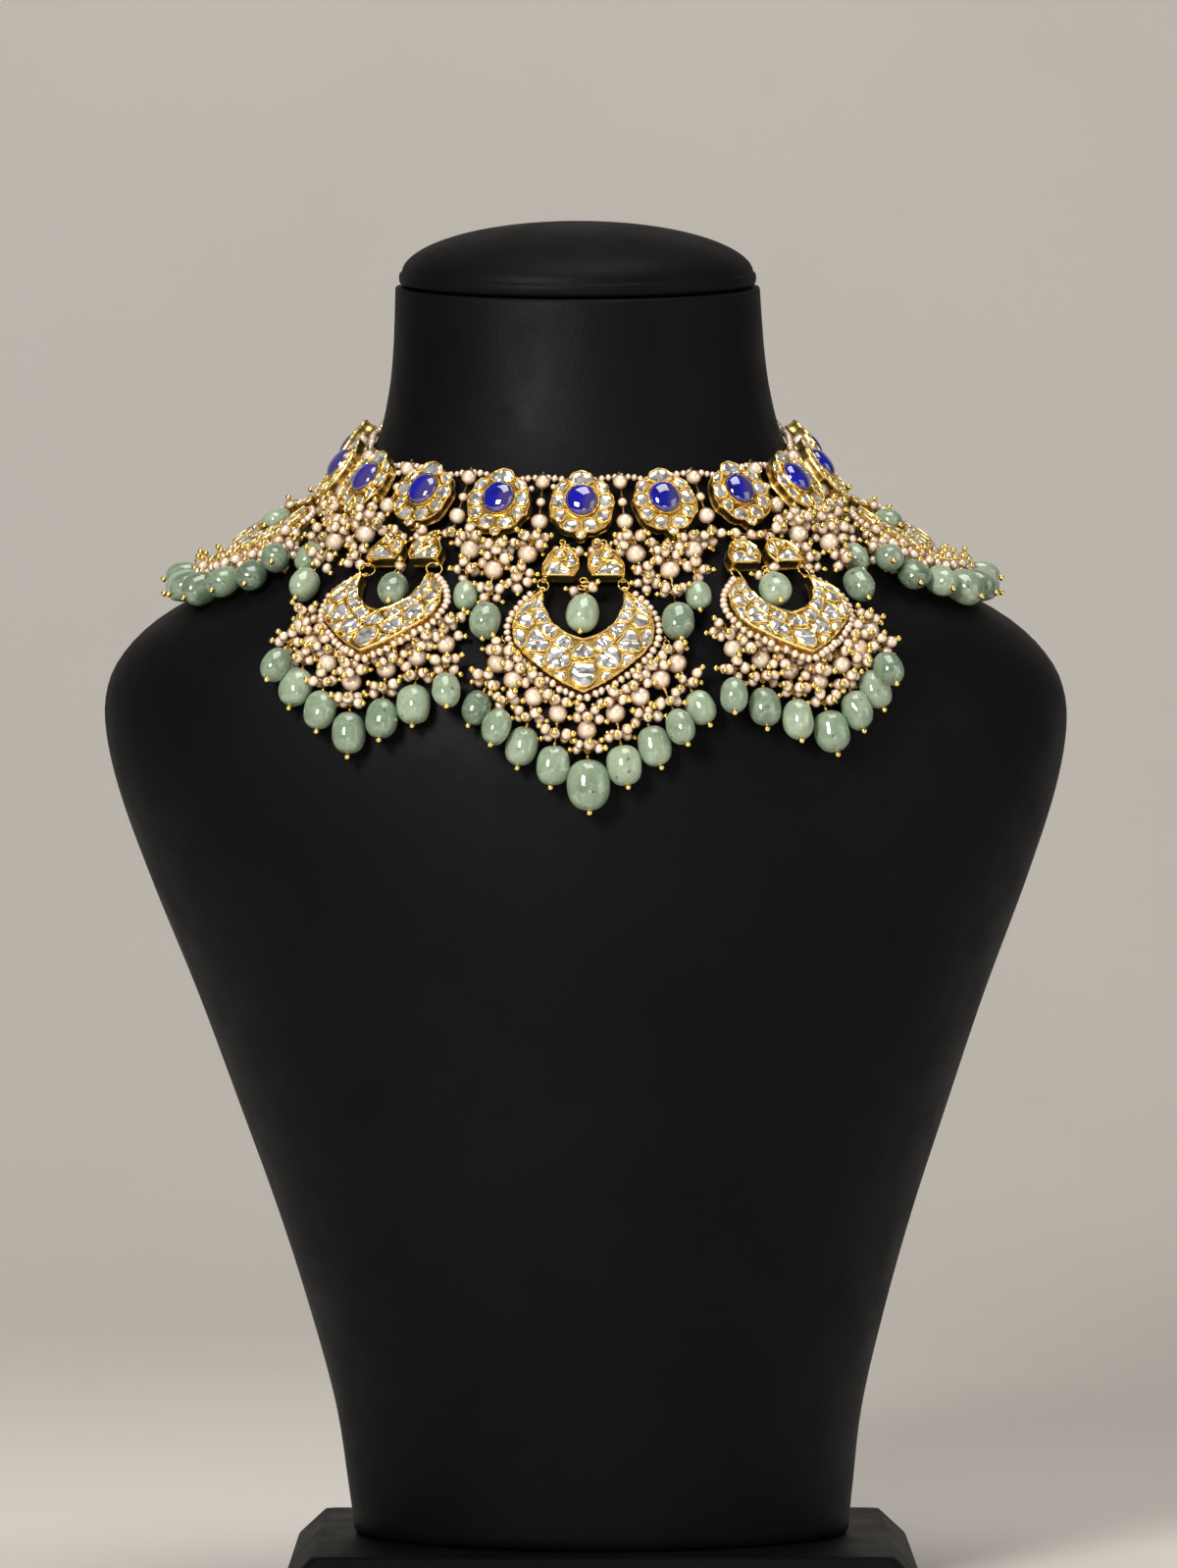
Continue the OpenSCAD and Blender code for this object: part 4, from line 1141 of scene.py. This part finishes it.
# Bird: x outwards and y up from the middle of its foot
BIRD_SHAPE = [(5.7, 0.1), (-3.9, 0), (-5.4, 2.9), (-5.2, 6.3), (-3.2, 9), (0, 9.8), (2.8, 8.7), (4.3, 6.6),
              (5.7, 3.9)]
BIRD_CELLS = [([(-1.9, 8.6), (-3.5, 7.2), (-4.4, 5), (-4, 3.8), (-2.2, 3.2), (-1.4, 4.4), (-1.9, 6.1)], 2),
              ([(3, 5.1), (4.2, 2.9), (4.3, 0.8), (-2.8, 0.7), (-3, 1.4), (-0.1, 3.8), (1.8, 5.1)], 3)]
EYE_AT, EYE_R = (0.4, 7.4), 1.1
# The neck's wire winds round the eye, from its first to its last radius, and ends at the breast
CURL_FROM, CURL_TO, CURL_R, CURL_GROWTH, CURL_FLAT = -60, 300, 1.75, 0.75, 0.86
CURL_END = [(3.2, 4.6), (4.9, 2.9)]


def bird_outline():
    return softened(BIRD_SHAPE, 84, 0.8)


def bird_frame(k, side):
    f = FRAMES[k]
    return (on_frame(f, side * BIRD_SHIFT * BIRD_SIZES[k], BIRD_RISES[k], 0), *f[1:])


def foot_eyelet(k, side):
    return on_frame(bird_frame(k, side), side * 5.1 * BIRD_SIZES[k], -0.5, PLATE_T / 2)


def head_eyelet(k, side, up):
    size = BIRD_SIZES[k]
    return on_frame(bird_frame(k, side), side * -0.4 * size, 9.6 * size + up, PLATE_T / 2)


def barrel(template, power):
    """Unit ball with fuller shoulders. The wall of its drill hole stays as it is."""
    v, faces = template
    grow = 1 / (np.hypot(v[:, 0], v[:, 1]) ** power + np.abs(v[:, 2]) ** power) ** (1 / power)
    return v * np.where(np.linalg.norm(v, axis=1) > 0.9, grow, 1)[:, None], faces


gold_dot = ball(9, 6)
seed_ball = ball(12, 8)
small_ball = ball(13, 8)
end_ball = ball(16, 11)
big_ball = ball(26, 17)
green_ball = barrel(drilled_ball(36, 24, 0.06), 2.35)


def make_crescent(k):
    name, f, size = PENDANTS[k], FRAMES[k], SIZES[k]
    full = size > FULL_DETAIL
    rim = 1.0 if full else 0.85
    shape = Shape()
    ground = plate_body(shape, crescent_outline(size), f, PLATE_T, 0.75)
    for polygon, stones in HALF_CELLS:
        for side in (1, -1):
            cell = below_tips(polygon, side) * size
            middle = cell.mean(0)
            cell = middle + (cell - middle) * rng.uniform(1.0, 1.05) + rng.uniform(-0.08, 0.08, 2)
            add_cell(shape, cell, ground, f, stones if full else min(stones, 2), rim)
    for polygon, stones in MIDDLE_CELLS:
        add_cell(shape, below_tips(polygon) * size, ground + 0.1, f, stones, rim)
    add_tube(shape, place(level(below_tips(CROWN) * size, ground + 0.45), f), 0.3 * size)
    for side in (1, -1):
        add_loop(shape, tip_eyelet(k, side), f[3] + 0.3 * f[2], 0.7, EYELET_WIRE)
    piece(f"crescent_plate_{name}", shape, [gold, polki], [f"crescent_{name}"], sharp=48)


SEED_R, SEED_FLAT, SEED_START, SEED_OUT, SEED_LIFT = 1.28, 0.82, 1.3, 1.35, 2.3


def make_seeds(k):
    """Seed pearls along a crescent's outer edge, on their wire: close at the tips, looser round the point."""
    name, f, size = PENDANTS[k], FRAMES[k], SIZES[k]
    path = Path([on_frame(f, *rim_point(size, t, SEED_OUT), SEED_LIFT)
                 for t in np.linspace(-0.99, 0.99, 400)])
    shape = Shape()
    half = path.length / 2
    for side in (1, -1):
        at = SEED_START
        while at < half - 0.4:
            loose = np.clip(1.5 - 2 * at / half, 0, 1)
            r = SEED_R * (0.86 + 0.14 * size) * rng.uniform(0.92, 1.05)
            q = half + side * at
            d = path.way(q, 0.5)
            p = path.at(q) + rng.uniform(-0.1, 0.1, 3) + f[3] * loose * rng.uniform(-0.7, 0.6)
            add_bead(shape, p + d * loose * rng.uniform(-0.2, 0.2), d + loose * rng.uniform(-0.5, 0.5, 3),
                     (r, r, r * SEED_FLAT), small_ball, 0.05)
            at += r * (1.66 + 0.2 * loose)
    add_tube(shape, path.points[::8], LOOP_WIRE, 5, material=1)
    piece(f"seed_pearls_{name}", shape, [pearl_small, gold_wire])


def make_bird(k, side, letter):
    name, f, size = PENDANTS[k], FRAMES[k], BIRD_SIZES[k]
    full = size > FULL_DETAIL
    rim = 1.0 if full else 0.75
    shape = Shape()
    g = bird_frame(k, side)
    flip = vec(side, 1) * size
    ground = plate_body(shape, bird_outline() * flip, g, PLATE_T, 0.6)
    for polygon, stones in BIRD_CELLS:
        add_cell(shape, np.array(polygon) * flip, ground, g, stones if full else 1, rim, points=30)
    # the eye, with the neck curled round it
    x, y = EYE_AT
    eye = [(x + EYE_R * cos(a), y + EYE_R * sin(a)) for a in range(0, 360, 30)]
    add_cell(shape, np.array(eye) * flip, ground + 0.1, g, 1, rim, points=24)
    curl = []
    for a in range(CURL_FROM, CURL_TO, 15):
        r = CURL_R + CURL_GROWTH * (a - CURL_FROM) / 360
        curl.append((x + r * cos(a), y - 0.1 + CURL_FLAT * r * sin(a)))
    add_tube(shape, place(level(np.array(curl + CURL_END) * flip, ground + 0.36), g), 0.27 * size)
    add_loop(shape, head_eyelet(k, side, 0.6), f[3] + 0.2 * f[1], 0.75, EYELET_WIRE)
    add_loop(shape, foot_eyelet(k, side), f[3] + 0.2 * f[2], 0.65, EYELET_WIRE)
    piece(f"paisley_{name}_{letter}", shape, [gold, polki], [f"bird_{name}_{letter}"], sharp=48)


for k in range(len(PENDANTS)):
    make_crescent(k)
    make_seeds(k)
    make_bird(k, -1, "a")
    make_bird(k, 1, "b")


# Spacer columns
COLUMN_TOP, COLUMN_LOW, COLUMN_LIFT = 7.1, -6.4, 3.9
SIDE_SEED_CHANCE = 0.6
columns = [(i + 0.5) * PITCH for i in range(-EACH_SIDE, EACH_SIDE)]


def column_point(s, x, y, lift):
    return on_frame(ring_frame(s, lift), x, y, 0)


def make_spacers():
    pearls, pins = Shape(), Shape()
    r1, r2 = SPACER_TOP_D / 2, SPACER_LOW_D / 2
    for s in columns:
        top, low = column_point(s, 0, COLUMN_TOP, COLUMN_LIFT), column_point(s, 0, COLUMN_LOW, COLUMN_LIFT)
        down, middle = unit(low - top), (top + low) / 2
        for p, r in ((top, r1), (low, r2)):
            add_bead(pearls, p, down, (r, r, r * 0.97), big_ball, 0.025)
        add_bead(pearls, middle + down * 0.1, down, (1.5, 1.5, 1.4), small_ball, 0.03)
        for side in (1, -1):
            if rng.uniform() < SIDE_SEED_CHANCE:
                p = column_point(s, side * 3.3, 5.4 + rng.uniform(-0.3, 0.5), COLUMN_LIFT - 0.6)
                add_bead(pearls, p, down, (1, 1, 0.9), seed_ball, 0.03)
        a, b = top - down * (r1 + 0.7), low + down * (r2 + 1)
        add_rod(pins, a, b, 0.26)
        add_ball(pins, gold_dot, a, 0.5)
        add_ball(pins, gold_dot, b, 0.62)
        for p in (top + down * (r1 + 0.25), low - down * (r2 + 0.25), middle - down * 1.75,
                  middle + down * 1.85):
            add_loop(pins, p, down, 0.42, n=10, sides=5)
        add_loop(pins, b + down * 0.75, ring_frame(s, 0)[1], 0.7)
    piece("spacer_column_pearls", pearls, [pearl], ["spacer_pearls"])
    piece("spacer_column_pins", pins, [shaded_gold_pin], ["spacer_pins"])


make_spacers()

# Seed pearl edging and back strands
EDGE_RISE, EDGE_PEARL_R, EDGE_SAG = 9.8, 1.16, 1.9
BACK_PEARL_R, BACK_ROWS, BACK_ROWS_END = 1.18, (1, -0.5), 1.6
END_ANGLE = ring_angle((EACH_SIDE + 0.5) * PITCH)
BACK_START, CLASP_ANGLE = END_ANGLE + 1.5, 8.5
THREAD, THREADED_FLAT = 0.16, 0.86


def over_ring(angle, rise, lift):
    """Point lifted off the bust, a given way up from the choker's middle line."""
    p = ring_point(angle)
    return outer_point(frame_at(p, skin_normal(angle, p[2]), vec(0, 0, 1)), 0, rise, lift)


def back_point(side, t, row):
    a = BACK_START + (180 - BACK_START - CLASP_ANGLE) * t
    p = over_ring(a, EDGE_RISE * (1 - t) * row + BACK_ROWS_END * t * np.sign(row), STRAND_R + 0.3)
    return vec(axis_x(p[2]) + side * (p[0] - axis_x(p[2])), p[1], p[2])


def string_of_pearls(shape, points, r, vary=0.08):
    """Seed pearls on their thread."""
    path = Path(points)
    at = r
    while at < path.length - r * 0.6:
        size = r * rng.uniform(1 - vary, 1 + vary / 2)
        add_bead(shape, path.at(at) + rng.uniform(-0.06, 0.06, 3), path.way(at, 0.4),
                 (size, size, size * THREADED_FLAT), seed_ball, 0.05)
        at += size * THREADED_FLAT * 2 + 0.05
    add_tube(shape, path.points[::2], THREAD, 5, material=1)


def make_edging():
    """One row of seed pearls, high over the columns and sagging towards the medallions."""
    shape = Shape()
    sway = np.random.default_rng(5).uniform(-1, 1, 4 * EACH_SIDE + 8)
    points = []
    for t in np.linspace(-1, 1, 260):
        at = t * (EACH_SIDE + 0.5)
        from_column = abs(at - math.floor(at) - 0.5)
        noise = np.interp(at + EACH_SIDE + 1, np.arange(len(sway)) / 2, sway)
        rise = EDGE_RISE - 0.1 - EDGE_SAG * (from_column * 2) ** 2 + 0.3 * noise
        points.append(over_ring(t * END_ANGLE, rise, 1.35 + 0.25 * (1 - 2 * from_column)))
    string_of_pearls(shape, points, EDGE_PEARL_R, 0.12)
    piece("edging_pearls", shape, [pearl_small, gold_wire], ["edging"])


def make_back():
    shape = Shape()
    for side in (-1, 1):
        for row in BACK_ROWS:
            string_of_pearls(shape, [back_point(side, t, row) for t in np.linspace(0, 1, 60)], BACK_PEARL_R)
    piece("back_pearls", shape, [pearl_small, gold_wire], ["back_strands"])


# Clasp: its outline, then inset and height of its edge, then radius and height of its button
CLASP = [(-7, -2.4), (-5.6, -3.2), (5.6, -3.2), (7, -2.4), (7, 2.4), (5.6, 3.2), (-5.6, 3.2), (-7, 2.4)]
CLASP_EDGE = [(0.25, 0), (0, 0.3), (0, 1.3), (0.2, 1.6), (0.5, 1.75)]
CLASP_BUTTON = [(2.5, 1.7), (2.5, 2.5), (2.3, 2.85), (1.6, 3.0), (1.3, 2.8)]


def make_clasp():
    shape = Shape()
    p = ring_point(180)
    n = skin_normal(180, p[2])
    f = frame_at(p + n * 0.6, n, vec(0, 0, 1))
    outline = anticlockwise(softened(CLASP, 48, 1))
    add_rings(shape, [level(inset(outline, d), z) for d, z in CLASP_EDGE], f)
    add_rings(shape, [level(circle(28) * r, z) for r, z in CLASP_BUTTON], f, low=False)
    for side in (-1, 1):
        for y in (1.6, -1.6):
            add_loop(shape, on_frame(f, side * 7.4, y, 0.9), f[3], 0.8, STEM_WIRE)
    piece("clasp_plate", shape, [gold], ["clasp"], sharp=45)


make_edging()
make_back()
make_clasp()


# Small pearls on head pins round the drops: they are pushed apart from each other and from all that is near
class Cluster:
    """Head pins that hang from one point. At a spread of 1 they stand all round it, and at less under it."""

    def __init__(self, anchor, down, out, count, spread=1.0):
        self.anchor, self.down, self.out, self.count, self.spread = anchor, down, out, count, spread


LOWEST_SKIN, HIGHEST_SKIN = 30, 395


def local_out(p):
    angle = math.degrees(math.atan2(p[0] - axis_x(p[2]), -p[1]))
    return skin_normal(angle, min(max(p[2], LOWEST_SKIN), HIGHEST_SKIN))


LONG_WIRE = 5.2


def drop_clusters(drops, heart, f):
    group = []
    for d in drops:
        out = local_out(d.pearl)
        group.append(Cluster(d.upper, d.down, out, 5))
        group.append(Cluster(d.knot, d.down, out, 5 if d.w > 0 else 3))
        if np.linalg.norm(d.start - d.upper) > LONG_WIRE:
            group.append(Cluster((d.start + d.upper) / 2, d.down, out, 3))
        if d.w == 0:
            group.append(Cluster(d.end, d.down, out, 4))
    group.append(Cluster(heart.mid - heart.down * (heart.l / 2 + 1.6), heart.down, f[3], 2))
    return group


def fringe_clusters():
    """Short fringes under the medallions and the spacers."""
    group = []
    for k in range(-EACH_SIDE, EACH_SIDE + 1):
        f = ring_frame(k * PITCH, MEDALLION_LIFT)
        for x in (-4.6, 4.6):
            group.append(Cluster(on_frame(f, x, -MEDALLION_H / 2 - 2.2, 0.4), -f[2], f[3], 3, 0.4))
    for s in columns:
        f = ring_frame(s, COLUMN_LIFT)
        group.append(Cluster(on_frame(f, 0, COLUMN_LOW - SPACER_LOW_D / 2 - 3.4, 0), -f[2], f[3], 3, 0.6))
    return group


clusters = [drop_clusters(*row) for row in zip(DROPS, HEARTS, FRAMES)] + [fringe_clusters()]

# Way from the anchor to the pearl's edge, from there to the middle of the gold ball, and that ball's radius
PIN_GAP, BALL_OUT, SMALL_BALL_R = 0.75, 0.62, 0.94

anchor, direction, radius, owner = [], [], [], []
for k, group in enumerate(clusters):
    for c in group:
        side = unit(np.cross(c.down, c.out))
        start = rng.uniform(0, TAU)
        for j in range(c.count):
            a = start + j * TAU / c.count + rng.uniform(-0.25, 0.25)
            u = unit(math.cos(a) * side + (0.6 + 0.7 * math.sin(a)) * c.spread * c.out
                     + c.down * (rng.uniform(-0.1, 0.5) + 1 - c.spread))
            anchor.append(c.anchor)
            direction.append(u)
            radius.append(rng.uniform(1.5, 1.9))
            owner.append(k)
anchor, direction, radius, owner = map(np.array, (anchor, direction, radius, owner))


def plate_balls(polygon, f, step, r, z):
    """Balls that fill a plate, in rows a step apart."""
    p, q = np.asarray(polygon), np.roll(polygon, -1, 0)
    low, high = p.min(0), p.max(0)
    made = []
    for x in np.arange(low[0] + step / 2, high[0], step):
        for y in np.arange(low[1] + step / 2, high[1], step):
            crossing = ((p[:, 1] > y) != (q[:, 1] > y)) & (
                x < (q[:, 0] - p[:, 0]) * (y - p[:, 1]) / (q[:, 1] - p[:, 1] + 1e-12) + p[:, 0])
            if crossing.sum() % 2:
                made.append((*on_frame(f, x, y, z), r))
    return made


def bead_balls(mid, down, l, w, end, share):
    """Three balls that fill a bead, the outer two a share of its length from the middle."""
    return [(*(mid + down * l * t), w * r) for t, r in ((-end, share), (0, 0.5), (end, share))]


def obstacles():
    """Balls, as x, y, z and radius, that stand for all the pieces which small pearls stay clear of."""
    made = []
    for k, drops in enumerate(DROPS):
        for d in drops:
            made.append((*d.pearl, PEARL_D / 2))
            if d.w > 0:
                made += bead_balls(d.end, d.down, d.l, d.w, 0.29, 0.42)
        h = HEARTS[k]
        made += bead_balls(h.mid, h.down, h.l, h.w, 0.27, 0.43)
        made += plate_balls(crescent_outline(SIZES[k]), FRAMES[k], 2.0, 2.5, PLATE_T / 2)
        for t in np.linspace(-0.97, 0.97, 28):
            made.append((*on_frame(FRAMES[k], *rim_point(SIZES[k], t, 1.5), 1.7), 1.5))
        for side in (1, -1):
            outline = bird_outline() * vec(side, 1) * BIRD_SIZES[k]
            made += plate_balls(outline, bird_frame(k, side), 1.9, 2.3, 2.3)
    for k in range(-EACH_SIDE, EACH_SIDE + 1):
        made += plate_balls(FLOWER, ring_frame(k * PITCH, MEDALLION_LIFT), 2.2, 2.2, MEDALLION_WALL / 2)
    for s in columns:
        for y, r in ((COLUMN_TOP, 2.4), (0.3, 1.5), (COLUMN_LOW, 2.7)):
            made.append((*column_point(s, 0, y, COLUMN_LIFT), r))
    return np.array(made)


def pushes(points, radii, others, other_radii, gap, skip=False):
    """How far each point has to move to clear each of the others, apart from pairs that skip marks."""
    d = points[:, None] - others[None]
    dist = np.linalg.norm(d, axis=2) + 1e-9
    deep = np.where(skip, 0, np.maximum(radii[:, None] + other_radii[None] + gap - dist, 0))
    return d / dist[..., None] * deep[..., None]


STEPS, LONGEST_MOVE = 90, 0.9
SHORTEST_PIN, LONGEST_PIN = 0.5, 2.4
OBSTACLE_REACH = 9
SKIN_SCALE, SKIN_ROOM = 60, 1.25


def relaxed(centre):
    """Places of the small pearls once they are clear of each other, of the obstacles and of the bust."""
    blocks = obstacles()
    near = [blocks[np.linalg.norm(blocks[:, :3] - c, axis=1) < blocks[:, 3] + OBSTACLE_REACH] for c in centre]
    same = np.eye(len(centre), dtype=bool)
    ball_radii = np.full(len(centre), SMALL_BALL_R)
    for _ in range(STEPS):
        arm = centre - anchor
        reach = np.linalg.norm(arm, axis=1)
        u = arm / reach[:, None]
        # the bound on the pin keeps every pearl by its own wire
        centre = anchor + u * np.clip(reach, radius + SHORTEST_PIN, radius + LONGEST_PIN)[:, None]
        tip = centre + u * (radius + BALL_OUT)[:, None]
        move = 0.5 * pushes(centre, radius, centre, radius, 0.05, same).sum(1)
        shove = pushes(tip, ball_radii, centre, radius, 0.03, same)
        move += 0.35 * shove.sum(1) - 0.35 * shove.sum(0)
        for i, b in enumerate(near):
            one, at, r = slice(i, i + 1), b[:, :3], b[:, 3]
            move[i] += 0.7 * pushes(centre[one], radius[one], at, r, 0.06).sum(1)[0]
            move[i] += 0.45 * pushes(tip[one], ball_radii[one], at, r, 0.02).sum(1)[0]
            # off the bust
            depth = (math.sqrt(max(inside_measure(centre[i]), 1e-6)) - 1) * SKIN_SCALE
            room = radius[i] * SKIN_ROOM + 0.2
            if depth < room:
                move[i] += local_out(centre[i]) * 0.3 * (room - depth)
        size = np.linalg.norm(move, axis=1)
        centre = centre + move * np.minimum(1, LONGEST_MOVE / np.maximum(size, 1e-9))[:, None]
    return centre


centre = relaxed(anchor + direction * (radius + PIN_GAP)[:, None])
arm = centre - anchor
direction = arm / np.linalg.norm(arm, axis=1)[:, None]


def make_clusters():
    for k in range(len(clusters)):
        name = PENDANTS[k] if k < len(PENDANTS) else "fringe"
        beads, pins = Shape(), Shape()
        for i in np.nonzero(owner == k)[0]:
            p, u, r = centre[i], direction[i], radius[i]
            sizes = (r, r * rng.uniform(0.93, 1.0), r * rng.uniform(0.8, 0.98))
            add_bead(beads, p, u, sizes, small_ball, 0.08)
            add_rod(pins, anchor[i], p + u * r, 0.17, 5)
            add_loop(pins, anchor[i] + u * 0.25, np.cross(u, vec(0.3, 0.5, 0.8)), 0.5, 0.15, 10, 5)
            add_ball(pins, gold_dot, p + u * (r + BALL_OUT), SMALL_BALL_R * rng.uniform(0.94, 1.06), 1)
        piece(f"cluster_pearls_{name}", beads, [pearl_small])
        piece(f"head_pins_{name}", pins, [gold_wire, gold_ball])


make_clusters()


# Drops
def make_pearls(k):
    shape = Shape()
    for d in DROPS[k]:
        sizes = [PEARL_D / 2 * rng.uniform(*shares) for shares in ((0.98, 1.04), (0.98, 1.04), (0.93, 1.0))]
        add_bead(shape, d.pearl, d.down, sizes, big_ball, 0.022)
    piece(f"large_pearls_{PENDANTS[k]}", shape, [pearl], [f"pearls_{PENDANTS[k]}"])


def make_greens(k):
    """Green beads of the drops, slightly flat, and the rounder one in the opening."""
    shape = Shape()
    h = HEARTS[k]
    for p, down, w, l, flat in [(d.end, d.down, d.w, d.l, 0.88) for d in DROPS[k] if d.w > 0] + [
            (h.mid, h.down, h.w, h.l, 0.98)]:
        sizes = (w / 2 * rng.uniform(0.97, 1.04), w / 2 * rng.uniform(flat, 1), l / 2)
        add_bead(shape, p, down, sizes, green_ball, 0.035)
    piece(f"green_beads_{PENDANTS[k]}", shape, [green], [f"greens_{PENDANTS[k]}"])


def add_drop_wire(shape, d):
    """Loops, wrapped wire and end ball of one drop."""
    out = local_out(d.pearl)
    side = unit(np.cross(d.down, out))
    first = unit(d.upper - d.start)
    add_loop(shape, d.start + first * 0.35, side, 0.95, 0.22, 16)
    add_loop(shape, d.start + first * 1.7, out, 0.8)
    span = np.linalg.norm(d.upper - d.start)
    at = d.start + first * min(2.4, span * 0.6)
    add_rod(shape, at, d.upper, STEM_WIRE)
    add_coil(shape, at, at + first * min(1.6, max(span - 3.0, 0.5)), 0.42, 3.5)
    add_rod(shape, d.upper, d.knot, STEM_WIRE)
    add_coil(shape, d.pearl - d.down * (PEARL_D / 2 + 0.75), d.pearl - d.down * (PEARL_D / 2 - 0.1), 0.4, 2.5)
    bottom = d.pearl + d.down * (PEARL_D / 2 - 0.1)
    add_coil(shape, bottom, bottom + d.down * 0.9, 0.4, 2.5)
    add_loop(shape, bottom + d.down * 1.7, side, 0.8)
    add_loop(shape, d.knot + d.down * 0.25, out, 0.85)
    top = d.end - d.down * d.half
    add_coil(shape, top - d.down * 1.0, top + d.down * 0.1, 0.4, 3)
    add_rod(shape, d.knot, d.ball, STEM_WIRE)
    add_ball(shape, end_ball, d.ball, BALL_R * 1.02, 1)
    for _ in range(2):
        add_loop(shape, d.upper + rng.uniform(-0.5, 0.5, 3), rng.normal(size=3), 0.75, 0.16, 12, 5)


def make_wires(name, groups):
    shape = Shape()
    for k in groups:
        for d in DROPS[k]:
            add_drop_wire(shape, d)
        h = HEARTS[k]
        add_rod(shape, h.top, h.ball, STEM_WIRE)
        add_loop(shape, h.top, FRAMES[k][1], 0.85)
        add_coil(shape, h.mid - h.down * (h.l / 2 + 0.9), h.mid - h.down * (h.l / 2 - 0.1), 0.42, 3)
        add_ball(shape, end_ball, h.ball, BALL_R, 1)
    piece(f"drop_wires_{name}", shape, [gold_wire, gold_ball], [f"wires_{name}"])


# Looped wires between the paisleys: x, y, lift and radius
LINKS = [(-0.9, 1.4, 2.2, 1.15), (0.8, 0.9, 2.6, 1.1), (0.2, 2.5, 2.4, 1.25), (-0.3, 3.9, 2.0, 1.1)]


def make_links():
    """Jump rings from the medallions to the paisleys and from these to the crescents' tips, and the looped wires
    between the paisleys."""
    shape = Shape()
    for k, f in enumerate(FRAMES):
        for side in (1, -1):
            tip, foot = tip_eyelet(k, side), foot_eyelet(k, side)
            r = max(np.linalg.norm(tip - foot) / 2, 0.75) + 0.25
            add_loop(shape, (tip + foot) / 2, f[3] + 0.45 * f[1], r, 0.25, 18)
            head = head_eyelet(k, side, 1.5)
            add_loop(shape, head, f[1] + 0.4 * f[3], 0.95, 0.25, 16)
            add_loop(shape, head + f[2] * 1.15, f[3] + 0.3 * f[1], 0.85, 0.24, 16)
        bird, up, across = BIRD_SIZES[k], (BIRD_RISES[k] - BIRD_RISES[0]) * 0.8, HEART_ROWS[k][0][0] * 0.3
        for x, y, z, r in LINKS:
            way = f[3] + rng.uniform(-0.8, 0.8) * f[1] + rng.uniform(-0.6, 0.6) * f[2]
            add_loop(shape, on_frame(f, x * bird + across, y + up, z), way, r * bird, 0.22, 16)
    piece("jump_rings", shape, [gold_wire])


for k in range(len(PENDANTS)):
    make_pearls(k)
    make_greens(k)
make_wires("centre", [0])
make_wires("left", [1, 3])
make_wires("right", [2, 4])
make_links()


# Floor, backdrop, light and camera, in metres
FLOOR_HALF, FLOOR_BACK, WALL_CURVE, WALL_TOP = 3.2, 0.9, 0.9, 3.4
AIM = (0, -0.05, 0.28)
# Place, width, height, power and colour of each light
LIGHTS = {"key": ((-0.7, -1.55, 1.0), 0.45, 0.6, 34, (1.0, 0.99, 0.96)),
          "fill": ((1.6, -0.75, 0.6), 1.2, 1.3, 8, (1.0, 0.96, 0.92)),
          "top": ((0.1, -0.25, 1.7), 0.9, 0.9, 12, (1.0, 0.98, 0.95)),
          "low_front": ((0.2, -1.8, 0.1), 0.5, 0.35, 2.5, (1.0, 0.95, 0.9))}
SKY, SKY_STRENGTH = (0.88, 0.87, 0.86, 1), 0.1
# Half width of the view at the bust and the camera's distance from it, in millimetres
VIEW_HALF, VIEW_FAR = 239.7, 2300
CAMERA_AT, CAMERA_TARGET, SENSOR = (-0.00435, -2.3, 0.288), (-0.00435, 0, 0.248), 36


def make_floor():
    m = Nodes("floor").set(roughness=0.55)
    m.link("Base Color", m.ramp(m.noise(3, 4), (0.3, (0.74, 0.7, 0.65)), (0.7, (0.78, 0.745, 0.695))))
    curve = [(FLOOR_BACK + WALL_CURVE * sin(a), WALL_CURVE - WALL_CURVE * cos(a)) for a in range(6, 91, 6)]
    profile = [(-FLOOR_HALF, 0), (FLOOR_BACK, 0), *curve, (FLOOR_BACK + WALL_CURVE, WALL_TOP)]
    rows = np.array([[(x, y, z) for x in (-FLOOR_HALF, FLOOR_HALF)] for y, z in profile]) / MM
    start = 2 * np.arange(len(rows) - 1)
    shape = Shape()
    shape.add(np.concatenate(rows), [np.stack([start, start + 1, start + 3, start + 2], 1)])
    floor = shape.object("floor")
    floor.data.materials.append(m.material)


def put(obj, at, target):
    """Links an object to the scene and turns its -Z to the target."""
    obj.location = at
    obj.rotation_euler = (Vector(target) - Vector(at)).to_track_quat("-Z", "Y").to_euler()
    bpy.context.scene.collection.objects.link(obj)
    return obj


def make_lights():
    for name, (at, width, height, power, colour) in LIGHTS.items():
        data = bpy.data.lights.new(name, "AREA")
        data.shape = "RECTANGLE"
        data.size, data.size_y, data.energy, data.color = width, height, power, colour
        put(bpy.data.objects.new(name, data), at, AIM)
    world = bpy.data.worlds.new("studio")
    world.use_nodes = True
    sky = world.node_tree.nodes["Background"].inputs
    sky["Color"].default_value, sky["Strength"].default_value = SKY, SKY_STRENGTH
    bpy.context.scene.world = world
    bpy.context.scene.view_settings.view_transform = "Standard"


def make_camera():
    data = bpy.data.cameras.new("camera")
    data.sensor_width, data.lens = SENSOR, SENSOR / 2 / (VIEW_HALF / VIEW_FAR)
    data.clip_start, data.clip_end = 0.05, 20
    bpy.context.scene.camera = put(bpy.data.objects.new("camera", data), CAMERA_AT, CAMERA_TARGET)


make_floor()
make_lights()
make_camera()
